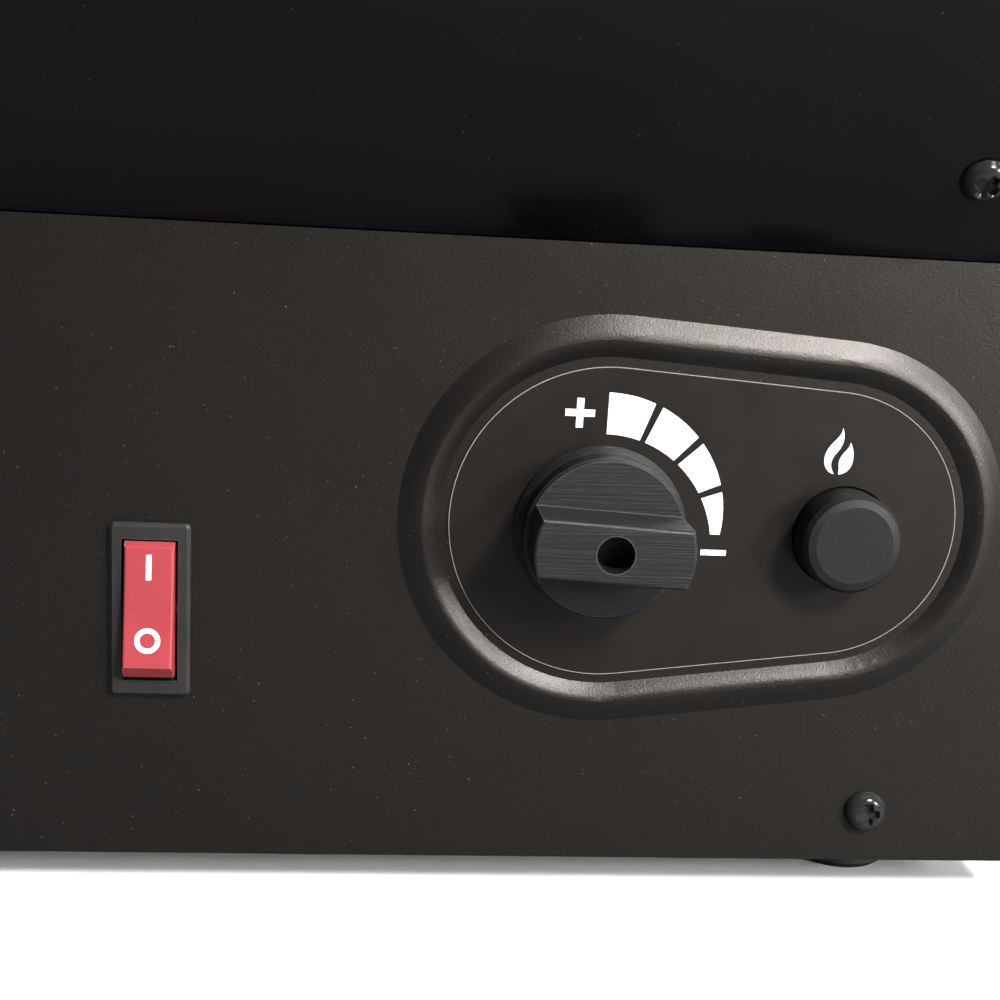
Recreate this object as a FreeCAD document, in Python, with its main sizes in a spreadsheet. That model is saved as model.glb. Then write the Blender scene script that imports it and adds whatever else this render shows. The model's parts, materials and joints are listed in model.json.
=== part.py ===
import FreeCAD, Part
import math
import os
import re
import Sketcher
from FreeCAD import Placement, Rotation, Vector

# A forced-air propane heater: a sheet-metal barrel lying on a sheet-metal base.
# X runs along the barrel with the hot end at -X, the control panel faces -Y, and the feet stand on Z = 0.

os.makedirs("parts", exist_ok=True)
doc = FreeCAD.newDocument("forced_air_heater")

# Driving dimensions, in millimetres and degrees
SIZES = {
    # Base
    "foot_height": 8, "foot_radius": 11, "foot_x": 135, "foot_y": 50, "foot_stem": 3,
    "sheet": 1.2, "base_length": 330, "panel_height": 112.8, "panel_face": 72, "seat_gap": 0.2,
    "pan_flange": 20, "plate_flange": 15, "saddle_width": 12, "saddle_reach": 52,
    "pan_slot_pitch": 16, "pan_slot_width": 6, "pan_slot_length": 60,
    "vent_x": -34, "vent_pitch": 18, "vent_length": 12, "vent_height": 4, "vent_rise": 35,
    # Barrel
    "barrel_radius": 102, "barrel_length": 440, "shell_sheet": 1.2, "shell_lap": 8,
    "slot_start": 58, "slot_end": 134, "slot_half": 22,
    "lip_width": 8, "front_depth": 12, "lip_sheet": 1.5, "lip_roll": 5.4,
    "guard_wire": 2.4, "guard_first": 14, "guard_pitch": 12, "guard_rings": 7, "guard_rim": 10,
    "guard_stand": 3, "guard_edge": 5,
    # Heat chamber and burner
    "chamber_radius": 76, "chamber_sheet": 1, "chamber_inset": 6, "chamber_back": 60,
    "port_radius": 4, "port_count": 12, "port_pitch": 22, "standoff_width": 10, "standoff_run": 14,
    "air_slot_start": 44, "air_slot_end": 66, "air_slot_width": 8, "air_slot_count": 8,
    "baffle_radius": 50, "baffle_depth": 22, "baffle_cone": 14, "arm_width": 12,
    "burner_radius": 20, "burner_length": 34, "burner_wall": 1.2, "burner_holes": 10,
    "nozzle_radius": 5, "nozzle_length": 12, "elbow_size": 16,
    "electrode_y": 12, "electrode_rise": 28, "insulator_radius": 3.8, "insulator_length": 40,
    "probe_drop": 30, "probe_y": -14, "probe_radius": 2.5, "probe_length": 52,
    # Motor and fan
    "motor_radius": 32, "motor_gap": 14.25, "motor_inset": 55, "shaft_radius": 3, "shaft_inset": 13,
    "run_gap": 0.05, "shaft_seat": 25, "bracket_sheet": 1.5, "band_width": 14, "arm_sheet": 2,
    "fan_gap": 14.8, "hub_radius": 10, "hub_length": 18, "hub_inset": 42, "fan_blades": 5,
    "root_chord": 20, "mid_chord": 46, "tip_chord": 52, "root_pitch": 50, "mid_pitch": 36, "tip_pitch": 26,
    "blade_sheet": 1.6, "nut_length": 5, "nut_flats": 10,
    # Controls, each placed from the bottom edge of the panel
    "rocker_x": 0, "rocker_rise": 46, "bezel_width": 13.65, "bezel_height": 31, "bezel_depth": 1.5,
    "rocker_width": 8.5, "rocker_half": 11.95, "rocker_face": 4.5, "rocker_tilt": 7, "pivot_depth": 1,
    "switch_width": 12, "switch_height": 27.4, "switch_depth": 22, "rocker_gap": 0.55, "pivot_radius": 1.2,
    "knob_x": 77.75, "knob_rise": 62.75, "knob_base": 15.2, "knob_radius": 14.2, "knob_shoulder": 8,
    "knob_height": 18.4, "grip_width": 10.2, "grip_reach": 13.7, "grip_turn": -3, "knob_gap": 0.6,
    "knob_hole": 3.2, "hole_depth": 6.5, "knob_recess": 10, "recess_depth": 3.4,
    "stem_radius": 3, "stem_flat": 2.2, "stem_out": 11, "stem_in": 12,
    "button_x": 121.8, "button_rise": 63, "button_radius": 8.87, "button_height": 7.4, "button_bevel": 2,
    "button_drop": 1.3, "button_skirt": 10, "button_stem": 4, "button_travel": 4.5, "button_gap": 0.35,
    "igniter_radius": 12.5, "igniter_flange": 15, "igniter_length": 42,
    # Label and the raised rib pressed around it
    "label_sheet": 0.3, "big_x": 78.9, "big_rise": 63.8, "big_radius": 27.85,
    "small_x": 118.4, "small_rise": 64.9, "small_radius": 24.1,
    "rib_start": 1.7, "rib_crest": 4.8, "rib_end": 9, "rib_height": 1.7,
    # Gas train
    "valve_width": 32, "valve_depth": 26, "valve_height": 34, "bush_radius": 5, "bush_out": 3,
    "coil_radius": 11, "coil_length": 26, "tube_radius": 3, "tube_bend": 15, "feed_bend": 4,
    "lead_radius": 1.5,
    "inlet_y": -45, "inlet_rise": 34, "inlet_thread": 7.94, "inlet_bore": 4, "inlet_reach": 16,
    "inlet_flats": 20, "inlet_flange": 6, "inlet_tail": 14, "lock_nut": 5,
    "gland_y": 40, "gland_rise": 34, "gland_bore": 4, "gland_body": 7, "gland_flange": 10, "gland_reach": 9,
    "limit_radius": 8, "limit_height": 6, "limit_x": -20,
    # Screws
    "screw_radius": 2, "head_radius": 3.9, "head_height": 2.4, "screw_gap": 0.1, "screw_length": 7,
    "low_screw_x": 132, "low_screw_rise": 10, "end_screw_inset": 8, "end_screw_rise": 92,
    "seam_screw_inset": 40, "bracket_inset": 84.8, "bracket_angle": 35.2,
    # Handle
    "handle_half": 70, "handle_rise": 38, "handle_tube": 7, "handle_bend": 20,
    "grip_radius": 11, "grip_half": 44,
    "pad_half": 18, "pad_width": 26, "pad_sheet": 4, "pad_screw": 12,
}

# Sizes that follow from the driving ones
DERIVED = {
    "panel_bottom": "foot_height",
    "panel_top": "foot_height + panel_height",
    "pan_top": "foot_height + sheet",
    "axis_rise": "foot_height + panel_height + sqrt(barrel_radius ^ 2 - panel_face ^ 2)",
    "half_base": "base_length / 2",
    "half_barrel": "barrel_length / 2",
    "front_lip": "barrel_radius - lip_width",
    "chamber_front": "half_barrel - chamber_inset",
    "motor_front": "knob_x + elbow_size / 2 + motor_gap",
    "motor_back": "half_barrel - motor_inset",
    "shaft_end": "half_barrel - shaft_inset",
    "hub_start": "half_barrel - hub_inset",
    "fan_radius": "shell_inner - fan_gap",
    "seam_screw_x": "half_barrel - seam_screw_inset",
    "seam_screw_step": "2 * seam_screw_x / 3",
    "bracket_x": "half_barrel - bracket_inset",
    "panel_back": "panel_face - sheet",
    "shell_outer": "barrel_radius + shell_sheet",
    "shell_inner": "barrel_radius - shell_sheet",
    "seat_radius": "barrel_radius + seat_gap",
    "rim_inner": "shell_outer + seat_gap",
    "rim_outer": "shell_outer + seat_gap + lip_sheet",
    "chamber_inner": "chamber_radius - chamber_sheet",
    "screw_hole": "screw_radius + screw_gap",
    "valve_front": "panel_back",
    "valve_back": "panel_back - valve_depth",
    "grip_axis": "shell_outer + handle_rise",
    "opening_half": "rocker_half + rocker_gap + 0.2",
    "opening_side": "rocker_width / 2 + rocker_gap",
}

sheet = doc.addObject("Spreadsheet::Sheet", "Sizes")
for row, (alias, number) in enumerate(SIZES.items(), start=1):
    sheet.set(f"A{row}", alias)
    sheet.set(f"B{row}", str(number))
    sheet.setAlias(f"B{row}", alias)
doc.recompute()

WORD = re.compile(r"([A-Za-z_][A-Za-z_0-9]*)")
TURNS = {
    "Z": Rotation(),
    "X": Rotation(Vector(0, 1, 0), 90),
    "-X": Rotation(Vector(0, 1, 0), -90),
    "Y": Rotation(Vector(1, 0, 0), -90),
    "panel": Rotation(Vector(1, 0, 0), 90),
}
NODES = []


def cells(text):
    """The expression with each named value written as its cell of the sheet."""
    words = WORD.split(str(text))
    for i, word in enumerate(words):
        if word in DERIVED:
            words[i] = f"({cells(DERIVED[word])})"
        elif word in SIZES:
            words[i] = f"Sizes.{word}"
    return "".join(words)


def size(text):
    """The number that an expression of named values stands for."""
    return float(sheet.evalExpression(cells(text)))


def node(thing, label):
    thing.Label = label
    NODES.append(thing)
    return thing


def place(thing, x="0", y="0", z="0", turn="Z"):
    thing.Placement = Placement(Vector(size(x), size(y), size(z)), TURNS[turn])
    for letter, text in zip("xyz", (x, y, z)):
        thing.setExpression(f"Placement.Base.{letter}", cells(text))
    return thing


# Plain solids and the ways of joining them

def cylinder(name, radius, length, x="0", y="0", z="0", turn="Z"):
    thing = doc.addObject("Part::Cylinder", name)
    thing.setExpression("Radius", cells(radius))
    thing.setExpression("Height", cells(length))
    return place(thing, x, y, z, turn)


def block(name, x, y, z):
    """A box between pairs of expressions along each axis."""
    thing = doc.addObject("Part::Box", name)
    for side, (low, high) in zip(("Length", "Width", "Height"), (x, y, z)):
        thing.setExpression(side, cells(f"({high}) - ({low})"))
    return place(thing, x[0], y[0], z[0])


def prism(name, flats, length, x, y, z, turn):
    thing = doc.addObject("Part::Prism", name)
    thing.Polygon = 6
    thing.setExpression("Circumradius", cells(f"({flats}) / sqrt(3)"))
    thing.setExpression("Height", cells(length))
    return place(thing, x, y, z, turn)


def fuse(name, *things):
    thing = doc.addObject("Part::MultiFuse", name)
    thing.Shapes = list(things)
    thing.Refine = True
    return thing


def cut(name, base, *tools):
    thing = doc.addObject("Part::Cut", name)
    thing.Base = base
    thing.Tool = tools[0] if len(tools) == 1 else fuse(name + "_tools", *tools)
    thing.Refine = True
    return thing


def common(name, base, tool):
    thing = doc.addObject("Part::Common", name)
    thing.Base = base
    thing.Tool = tool
    return thing


def pipe_of(name, outer, inner, length, x, y, z, turn):
    return cut(name, cylinder(name + "_outer", outer, length, x, y, z, turn),
               cylinder(name + "_bore", inner, length, x, y, z, turn))


def spoke(name, x, width, reach, turn):
    """A bar between two distances from the barrel's axis, turned about that axis by some degrees."""
    bar = block(name, x, (f"-({width}) / 2", f"({width}) / 2"), reach)
    bar.Placement.Rotation = Rotation(Vector(1, 0, 0), turn)
    across = f"-({width}) / 2 * cos({turn}) - ({reach[0]}) * sin({turn})"
    upward = f"-({width}) / 2 * sin({turn}) + ({reach[0]}) * cos({turn})"
    bar.setExpression("Placement.Base.y", cells(across))
    bar.setExpression("Placement.Base.z", cells(above_axis(upward)))
    return bar


def free_shape(name, shape):
    thing = doc.addObject("Part::Feature", name)
    thing.Shape = shape
    return thing


# Bodies, sketches and features

def body(name, x="0", y="0", z="0", turn="Z"):
    return place(doc.addObject("PartDesign::Body", name), x, y, z, turn)


def panel_body(name, x, rise, out="0"):
    """A body whose own XY plane lies on the front of the control panel and whose Z points out of it."""
    return body(name, x, f"-(panel_face + ({out}))", f"foot_height + ({rise})", "panel")


def sketch(owner, name, plane="XY_Plane", offset="0"):
    drawing = owner.newObject("Sketcher::SketchObject", name)
    face = next(f for f in owner.Origin.OriginFeatures if f.Role == plane)
    drawing.AttachmentSupport = [(face, "")]
    drawing.MapMode = "FlatFace"
    drawing.setExpression("AttachmentOffset.Base.z", cells(offset))
    return drawing


def fix(drawing, kind, *where_and_text):
    """A dimension of the sketch bound to an expression."""
    where, text = where_and_text[:-1], where_and_text[-1]
    index = drawing.addConstraint(Sketcher.Constraint(kind, *where, size(text)))
    drawing.setExpression(f"Constraints[{index}]", cells(text))


def pin(drawing, geometry, point, x, y):
    fix(drawing, "DistanceX", -1, 1, geometry, point, x)
    fix(drawing, "DistanceY", -1, 1, geometry, point, y)


def outline(drawing, *corners):
    """A closed outline through corners, each a pair of expressions."""
    spots = [Vector(size(x), size(y), 0) for x, y in corners]
    ends = zip(spots, spots[1:] + spots[:1])
    lines = [drawing.addGeometry(Part.LineSegment(a, b), False) for a, b in ends]
    for line, following in zip(lines, lines[1:] + lines[:1]):
        drawing.addConstraint(Sketcher.Constraint("Coincident", line, 2, following, 1))
    for line, (x, y) in zip(lines, corners):
        pin(drawing, line, 1, x, y)


def rectangle(drawing, x, y):
    outline(drawing, (x[0], y[0]), (x[1], y[0]), (x[1], y[1]), (x[0], y[1]))


def circle(drawing, x, y, radius):
    spot = Vector(size(x), size(y), 0)
    index = drawing.addGeometry(Part.Circle(spot, Vector(0, 0, 1), size(radius)), False)
    pin(drawing, index, 3, x, y)
    fix(drawing, "Radius", index, radius)


def slab(drawing, half, reach, turn="0"):
    """A bar across a circle: two parallel sides a set width apart, with ends that follow the circle."""
    wide, long, lean = size(half), size(reach), math.radians(size(turn))
    swing = math.asin(wide / long)
    for k in (0, 1):
        middle = lean + k * math.pi
        arc = Part.Circle(Vector(), Vector(0, 0, 1), long)
        drawing.addGeometry(Part.ArcOfCircle(arc, middle - swing, middle + swing), False)
        drawing.addConstraint(Sketcher.Constraint("Coincident", k, 3, -1, 1))
        fix(drawing, "Radius", k, reach)
    ends = [(drawing.getPoint(0, 2), drawing.getPoint(1, 1)),
            (drawing.getPoint(1, 2), drawing.getPoint(0, 1))]
    for k, (a, b) in enumerate(ends):
        line = drawing.addGeometry(Part.LineSegment(a, b), False)
        drawing.addConstraint(Sketcher.Constraint("Coincident", line, 1, k, 2))
        drawing.addConstraint(Sketcher.Constraint("Coincident", line, 2, 1 - k, 1))
        fix(drawing, "Distance", -1, 1, line, half)
    angle = drawing.addConstraint(Sketcher.Constraint("Angle", 3, lean))
    drawing.setExpression(f"Constraints[{angle}]", cells(f"{turn}"))


def feature(owner, kind, name, drawing, length=None, both=False, back=False):
    thing = owner.newObject(f"PartDesign::{kind}", name)
    thing.Profile = drawing
    if length is not None:
        thing.setExpression("Length", cells(length))
        thing.Midplane = both
        thing.Reversed = back
    return thing


def spin(owner, name, drawing, kind="Revolution", axis="H_Axis"):
    thing = owner.newObject(f"PartDesign::{kind}", name)
    thing.Profile = drawing
    thing.ReferenceAxis = (drawing, [axis])
    return thing


def repeat(owner, name, source, count, axis="X_Axis"):
    """Copies of a feature turned evenly around one of the body's own axes."""
    thing = owner.newObject("PartDesign::PolarPattern", name)
    thing.Originals = [source]
    thing.Axis = (next(f for f in owner.Origin.OriginFeatures if f.Role == axis), [""])
    thing.Angle = 360
    thing.setExpression("Occurrences", cells(count))
    owner.Tip = thing
    return thing


def soften(owner, name, base, kind, amount, keep):
    """A fillet or chamfer on the edges of a feature that the test keeps."""
    doc.recompute()
    edges = [f"Edge{i}" for i, edge in enumerate(base.Shape.Edges, start=1) if keep(edge)]
    thing = owner.newObject(f"PartDesign::{kind}", name)
    thing.Base = (base, edges)
    thing.setExpression("Radius" if kind == "Fillet" else "Size", cells(amount))
    return thing


def round_bar(points, radius, bend):
    """A round bar along straight runs joined by tangent arcs."""
    spots = [Vector(*p) for p in points]
    edges = []
    start = spots[0]
    for before, corner, after in zip(spots, spots[1:], spots[2:]):
        into, away = (corner - before).normalize(), (after - corner).normalize()
        turn = into.getAngle(away)
        reach = bend * math.tan(turn / 2)
        enter, leave = corner - into * reach, corner + away * reach
        inward = (away - into).normalize()
        middle = corner + inward * (bend / math.cos(turn / 2) - bend)
        edges += [Part.LineSegment(start, enter).toShape(), Part.Arc(enter, middle, leave).toShape()]
        start = leave
    edges.append(Part.LineSegment(start, spots[-1]).toShape())
    path = Part.Wire(edges)
    ring = Part.Wire(Part.Circle(spots[0], spots[1] - spots[0], radius).toShape())
    return path.makePipeShell([ring], True, False)


def screw(spot, out, length):
    """A domed screw whose head sits at a spot and whose shank runs the other way."""
    head, shank, rise = size("head_radius"), size("screw_radius"), size("head_height")
    out = Vector(*out).normalize()
    here = Vector(*spot)
    rim = Part.makeCylinder(head, 0.35 * rise, here, out)
    crown = Part.makeCone(head, 0.8 * head, 0.35 * rise, here + out * (0.35 * rise), out)
    top = Part.makeCone(0.8 * head, 0.35 * head, 0.3 * rise, here + out * (0.7 * rise), out)
    pin_part = Part.makeCylinder(shank, length, here - out * length, out)
    return rim.multiFuse([crown, top, pin_part]).removeSplitter()


def screws(label, places, length):
    return node(free_shape(label, Part.makeCompound([screw(s, o, length) for s, o in places])), label)


def above_axis(text):
    """The expression of a height that is measured from the barrel's axis."""
    return f"axis_rise + ({text})"


# Base: pan, feet, end plates and side panels
def base_pan():
    pan = body("pan")
    profile = sketch(pan, "pan_section", "YZ_Plane")
    side, inner = "panel_back", "panel_back - sheet"
    outline(profile, (f"-({side})", "panel_bottom"), (side, "panel_bottom"),
            (side, "panel_bottom + pan_flange"),
            (inner, "panel_bottom + pan_flange"), (inner, "pan_top"), (f"-({inner})", "pan_top"),
            (f"-({inner})", "panel_bottom + pan_flange"), (f"-({side})", "panel_bottom + pan_flange"))
    feature(pan, "Pad", "pan_fold", profile, "base_length - 2 * sheet", both=True)
    holes = sketch(pan, "foot_holes")
    for x in ("foot_x", "-foot_x"):
        for y in ("foot_y", "-foot_y"):
            circle(holes, x, y, "foot_stem")
    feature(pan, "Pocket", "foot_sockets", holes, "4 * foot_height", both=True)
    sides = sketch(pan, "panel_screw_holes", "XZ_Plane")
    for x in ("low_screw_x", "-low_screw_x"):
        circle(sides, x, "panel_bottom + low_screw_rise", "screw_hole")
    feature(pan, "Pocket", "panel_screw_bores", sides, "4 * panel_face", both=True)
    vents = sketch(pan, "air_slots")
    for k in range(-3, 4):
        middle = f"{k} * pan_slot_pitch"
        rectangle(vents, (f"{middle} - pan_slot_width / 2", f"{middle} + pan_slot_width / 2"),
                  ("-pan_slot_length / 2", "pan_slot_length / 2"))
    feature(pan, "Pocket", "air_inlets", vents, "4 * foot_height", both=True)
    node(pan, "base_pan")


def rubber_feet():
    feet = []
    for i, (a, b) in enumerate(((1, 1), (1, -1), (-1, 1), (-1, -1))):
        foot = body(f"foot_{i}", f"{a} * foot_x", f"{b} * foot_y")
        profile = sketch(foot, f"foot_profile_{i}", "XZ_Plane")
        outline(profile, ("0", "0"), ("foot_radius - 1.5", "0"), ("foot_radius", "1.5"),
                ("foot_radius - 1.5", "foot_height"), ("foot_stem", "foot_height"), ("foot_stem", "pan_top"),
                ("foot_stem + 1", "pan_top"), ("foot_stem - 0.5", "pan_top + 4"), ("0", "pan_top + 4"))
        spin(foot, f"foot_turned_{i}", profile, axis="V_Axis")
        feet.append(foot)
    node(fuse("feet", *feet), "rubber_feet")


def end_plate(label, way, bores):
    """An end of the base, cut to the barrel, with a saddle under it and a flange for each side panel."""
    outer, inner = f"{way} * half_base", f"{way} * (half_base - sheet)"
    low, high = (outer, inner) if way < 0 else (inner, outer)
    wall = block(label + "_wall", (low, high), ("-panel_back", "panel_back"), ("panel_bottom", "axis_rise"))
    inward = f"{way} * (half_base - sheet - plate_flange)"
    span = (inner, inward) if way < 0 else (inward, inner)
    wings = []
    for b in (-1, 1):
        edge = ("panel_back - sheet", "panel_back") if b > 0 else ("-panel_back", "-(panel_back - sheet)")
        height = ("panel_bottom + pan_flange + 1", "panel_top - 4")
        wings.append(block(f"{label}_wing_{b}", span, edge, height))
    ring = cylinder(label + "_ring", "seat_radius + sheet", "saddle_width",
                    span[0] if way < 0 else f"half_base - sheet - saddle_width", "0", "axis_rise", "X")
    window = block(label + "_window", ("-half_base", "half_base"), ("-saddle_reach", "saddle_reach"),
                   ("0", "axis_rise"))
    saddle = common(label + "_saddle", ring, window)
    whole = fuse(label + "_whole", wall, saddle, *wings)
    barrel = cylinder(label + "_barrel", "seat_radius", "2 * base_length", "-base_length", "0", "axis_rise",
                      "X")
    holes = [cylinder(f"{label}_side_bore_{b}", "screw_hole", "4 * plate_flange",
                      f"{way} * (half_base - end_screw_inset)",
                      f"{b} * panel_face - 2 * plate_flange", "panel_bottom + end_screw_rise", "Y")
             for b in (-1, 1)]
    node(cut(label, whole, barrel, *holes, *bores), label)


def end_plates():
    end_plate("front_plate", -1, [])
    inlet = cylinder("inlet_bore", "inlet_thread", "4 * sheet", "half_base - 2 * sheet", "inlet_y",
                     "foot_height + inlet_rise", "X")
    gland = cylinder("gland_bore", "gland_body", "4 * sheet", "half_base - 2 * sheet", "gland_y",
                     "foot_height + gland_rise", "X")
    end_plate("rear_plate", 1, [inlet, gland])


def egg(grow, start, thick):
    """The label's outline, two circles joined by their outer tangents, grown and given a thickness."""
    big, small = Vector(size("big_x"), size("big_rise"), 0), Vector(size("small_x"), size("small_rise"), 0)
    r1, r2 = size("big_radius") + grow, size("small_radius") + grow
    along = small - big
    heading = math.atan2(along.y, along.x)
    lean = math.acos((r1 - r2) / along.Length)
    spots = []
    for centre, radius, sign in ((big, r1, 1), (small, r2, 1), (small, r2, -1), (big, r1, -1)):
        turn = heading + sign * lean
        spots.append(centre + Vector(math.cos(turn), math.sin(turn), 0) * radius)
    front = small + Vector(math.cos(heading), math.sin(heading), 0) * r2
    behind = big - Vector(math.cos(heading), math.sin(heading), 0) * r1
    wire = Part.Wire([Part.LineSegment(spots[0], spots[1]).toShape(),
                      Part.Arc(spots[1], front, spots[2]).toShape(),
                      Part.LineSegment(spots[2], spots[3]).toShape(),
                      Part.Arc(spots[3], behind, spots[0]).toShape()])
    solid = Part.Face(wire).extrude(Vector(0, 0, thick))
    solid.translate(Vector(0, 0, start))
    return solid


def rib(sink):
    """The raised rib around the label: one section carried round both circles and along both tangents."""
    big, small = Vector(size("big_x"), size("big_rise"), 0), Vector(size("small_x"), size("small_rise"), 0)
    along = small - big
    heading = math.atan2(along.y, along.x)
    lean = math.acos((size("big_radius") - size("small_radius")) / along.Length)
    start, crest, end, rise = (size(t) for t in ("rib_start", "rib_crest", "rib_end", "rib_height"))
    root = size("sheet") / 3

    def section(centre, radius, turn):
        out, up = Vector(math.cos(turn), math.sin(turn), 0), Vector(0, 0, 1)
        spot = lambda d, w: centre + out * (radius + d) + up * (w - sink)
        inner, outer = Part.BezierCurve(), Part.BezierCurve()
        inner.setPoles([spot(start, 0), spot(start + 0.9, 0.35 * rise), spot(crest - 1.1, rise),
                        spot(crest, rise)])
        outer.setPoles([spot(crest, rise), spot(crest + 1.3, rise), spot(end - 1.5, 0.35 * rise),
                        spot(end, 0)])
        low, far = spot(start, -root), spot(end, -root)
        edges = [inner.toShape(), outer.toShape(), Part.LineSegment(spot(end, 0), far).toShape(),
                 Part.LineSegment(far, low).toShape(), Part.LineSegment(low, spot(start, 0)).toShape()]
        return Part.Face(Part.Wire(edges))

    run = Vector(math.cos(heading), math.sin(heading), 0) * math.sqrt(
        along.Length ** 2 - (size("big_radius") - size("small_radius")) ** 2)
    pieces = []
    for sign in (1, -1):
        turn = heading + sign * lean
        straight = Vector(run.x, run.y, 0)
        straight = Rotation(Vector(0, 0, 1), math.degrees(sign * (lean - math.pi / 2))).multVec(straight)
        pieces.append(section(big, size("big_radius"), turn).extrude(straight))
    wide = 360 - 2 * math.degrees(lean)
    pieces.append(section(big, size("big_radius"), heading + lean).revolve(big, Vector(0, 0, 1), wide))
    far = section(small, size("small_radius"), heading - lean)
    pieces.append(far.revolve(small, Vector(0, 0, 1), 360 - wide))
    return pieces[0].multiFuse(pieces[1:]).removeSplitter()


def to_panel(shape):
    """Carries a shape drawn on the panel's front into the heater's frame."""
    shape.Placement = Placement(Vector(0, -size("panel_face"), size("foot_height")), TURNS["panel"])
    return shape


def side_panel(label, way, pressed, holes):
    """A side of the base: a sheet with a folded lip under the pan and a top edge cut to the barrel."""
    outer, inner = "panel_face", "panel_back"
    y = (f"-{outer}", f"-{inner}") if way < 0 else (inner, outer)
    x = ("-half_base", "half_base")
    wall = block(label + "_wall", x, y, ("panel_bottom", "panel_top"))
    solid = fuse(label + "_pressed", wall, pressed[0]) if pressed else wall
    barrel = cylinder(label + "_barrel", "seat_radius", "2 * base_length", "-base_length", "0", "axis_rise",
                      "X")
    start = f"{way} * panel_face - 2 * plate_flange"
    for i, (sx, sz) in enumerate((("low_screw_x", "low_screw_rise"), ("-low_screw_x", "low_screw_rise"),
                                  ("half_base - end_screw_inset", "end_screw_rise"),
                                  ("-(half_base - end_screw_inset)", "end_screw_rise"))):
        holes = holes + [cylinder(f"{label}_screw_{i}", "screw_hole", "4 * plate_flange", sx, start,
                                  f"panel_bottom + {sz}", "Y")]
    node(cut(label, solid, barrel, *holes, *pressed[1:]), label)


def side_panels():
    raised = free_shape("rib_raised", to_panel(rib(0)))
    hollow = free_shape("rib_hollow", to_panel(rib(size("sheet"))))
    start = "-panel_face - plate_flange"
    switch = block("switch_hole", ("rocker_x - switch_width / 2", "rocker_x + switch_width / 2"),
                   ("-panel_face - 5", "-panel_back + 5"),
                   ("foot_height + rocker_rise - switch_height / 2",
                    "foot_height + rocker_rise + switch_height / 2"))
    stem = cylinder("bush_hole", "bush_radius", "2 * plate_flange", "knob_x", start,
                    "foot_height + knob_rise", "Y")
    button = cylinder("button_hole", "button_radius + button_gap", "2 * plate_flange", "button_x", start,
                      "foot_height + button_rise", "Y")
    side_panel("control_panel", -1, [raised, hollow], [switch, stem, button])
    vents = []
    for k in range(-4, 5):
        middle = f"vent_x + {k} * vent_pitch"
        vents.append(block(f"vent_{k}", (f"{middle} - vent_length / 2", f"{middle} + vent_length / 2"),
                           ("panel_face - 5", "panel_face + 5"),
                           ("panel_bottom + vent_rise", "panel_bottom + vent_rise + vent_height")))
    side_panel("blank_panel", 1, [], vents)


def label_plate():
    plate = free_shape("label_film", to_panel(egg(0, 0, size("label_sheet"))))
    start = "-panel_face - 5"
    stem = cylinder("label_bush_hole", "bush_radius", "10", "knob_x", start, "foot_height + knob_rise", "Y")
    button = cylinder("label_button_hole", "button_radius + button_gap", "10", "button_x", start,
                      "foot_height + button_rise", "Y")
    node(cut("label", plate, stem, button), "label_plate")


# Barrel: two shells, the front lip and the rear guard
def bracket_bores(name, radius):
    """Drilled ways for the four screws that hold the motor bracket inside the shells."""
    bores = []
    for i, turn in enumerate(bracket_turns()):
        bore = cylinder(f"{name}_{i}", "screw_hole", f"2 * ({radius})")
        spot = Vector(size("bracket_x"), 0, size("axis_rise"))
        bore.Placement = Placement(spot, Rotation(Vector(1, 0, 0), -turn))
        bore.setExpression("Placement.Base.x", cells("bracket_x"))
        bore.setExpression("Placement.Base.z", cells("axis_rise"))
        bores.append(bore)
    return bores


def bracket_turns():
    """The directions of the bracket's screws, in degrees from straight up towards +Y."""
    low = 90 + size("bracket_angle")
    return (low, 360 - low, 180 - low, 180 + low)


def shell(label, outer, inner, gone, extra):
    tube = body(label + "_tube", z="axis_rise")
    section = sketch(tube, label + "_section", "YZ_Plane")
    circle(section, "0", "0", outer)
    circle(section, "0", "0", inner)
    feature(tube, "Pad", label + "_rolled", section, "barrel_length", both=True)
    half = sketch(tube, label + "_half", "YZ_Plane")
    rectangle(half, ("-2 * barrel_radius", "2 * barrel_radius"), gone)
    feature(tube, "Pocket", label + "_trimmed", half, "2 * barrel_length", both=True)
    seam = sketch(tube, label + "_seam", "XZ_Plane")
    for k in range(4):
        circle(seam, f"seam_screw_x - {k} * seam_screw_step", "-shell_lap / 2", "screw_hole")
    feature(tube, "Pocket", label + "_drilled", seam, "4 * barrel_radius", both=True)
    extra(tube)
    node(cut(label, tube, *bracket_bores(label + "_bore", "barrel_radius")), label)


def shells():
    def air_slot(tube):
        slot = sketch(tube, "pipe_slot_outline")
        rectangle(slot, ("slot_start", "slot_end"), ("-slot_half", "slot_half"))
        feature(tube, "Pocket", "pipe_slot", slot, "4 * barrel_radius", both=True)

    def handle_holes(tube):
        drilled = sketch(tube, "handle_hole_outline")
        for a in (-1, 1):
            for b in (-1, 1):
                circle(drilled, f"{a} * handle_half + {b} * pad_screw", "0", "screw_hole")
        feature(tube, "Pocket", "handle_holes", drilled, "4 * barrel_radius", both=True)

    shell("lower_shell", "barrel_radius", "shell_inner", ("0", "2 * barrel_radius"), air_slot)
    shell("upper_shell", "shell_outer", "barrel_radius", ("-2 * barrel_radius", "-shell_lap"), handle_holes)


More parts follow.
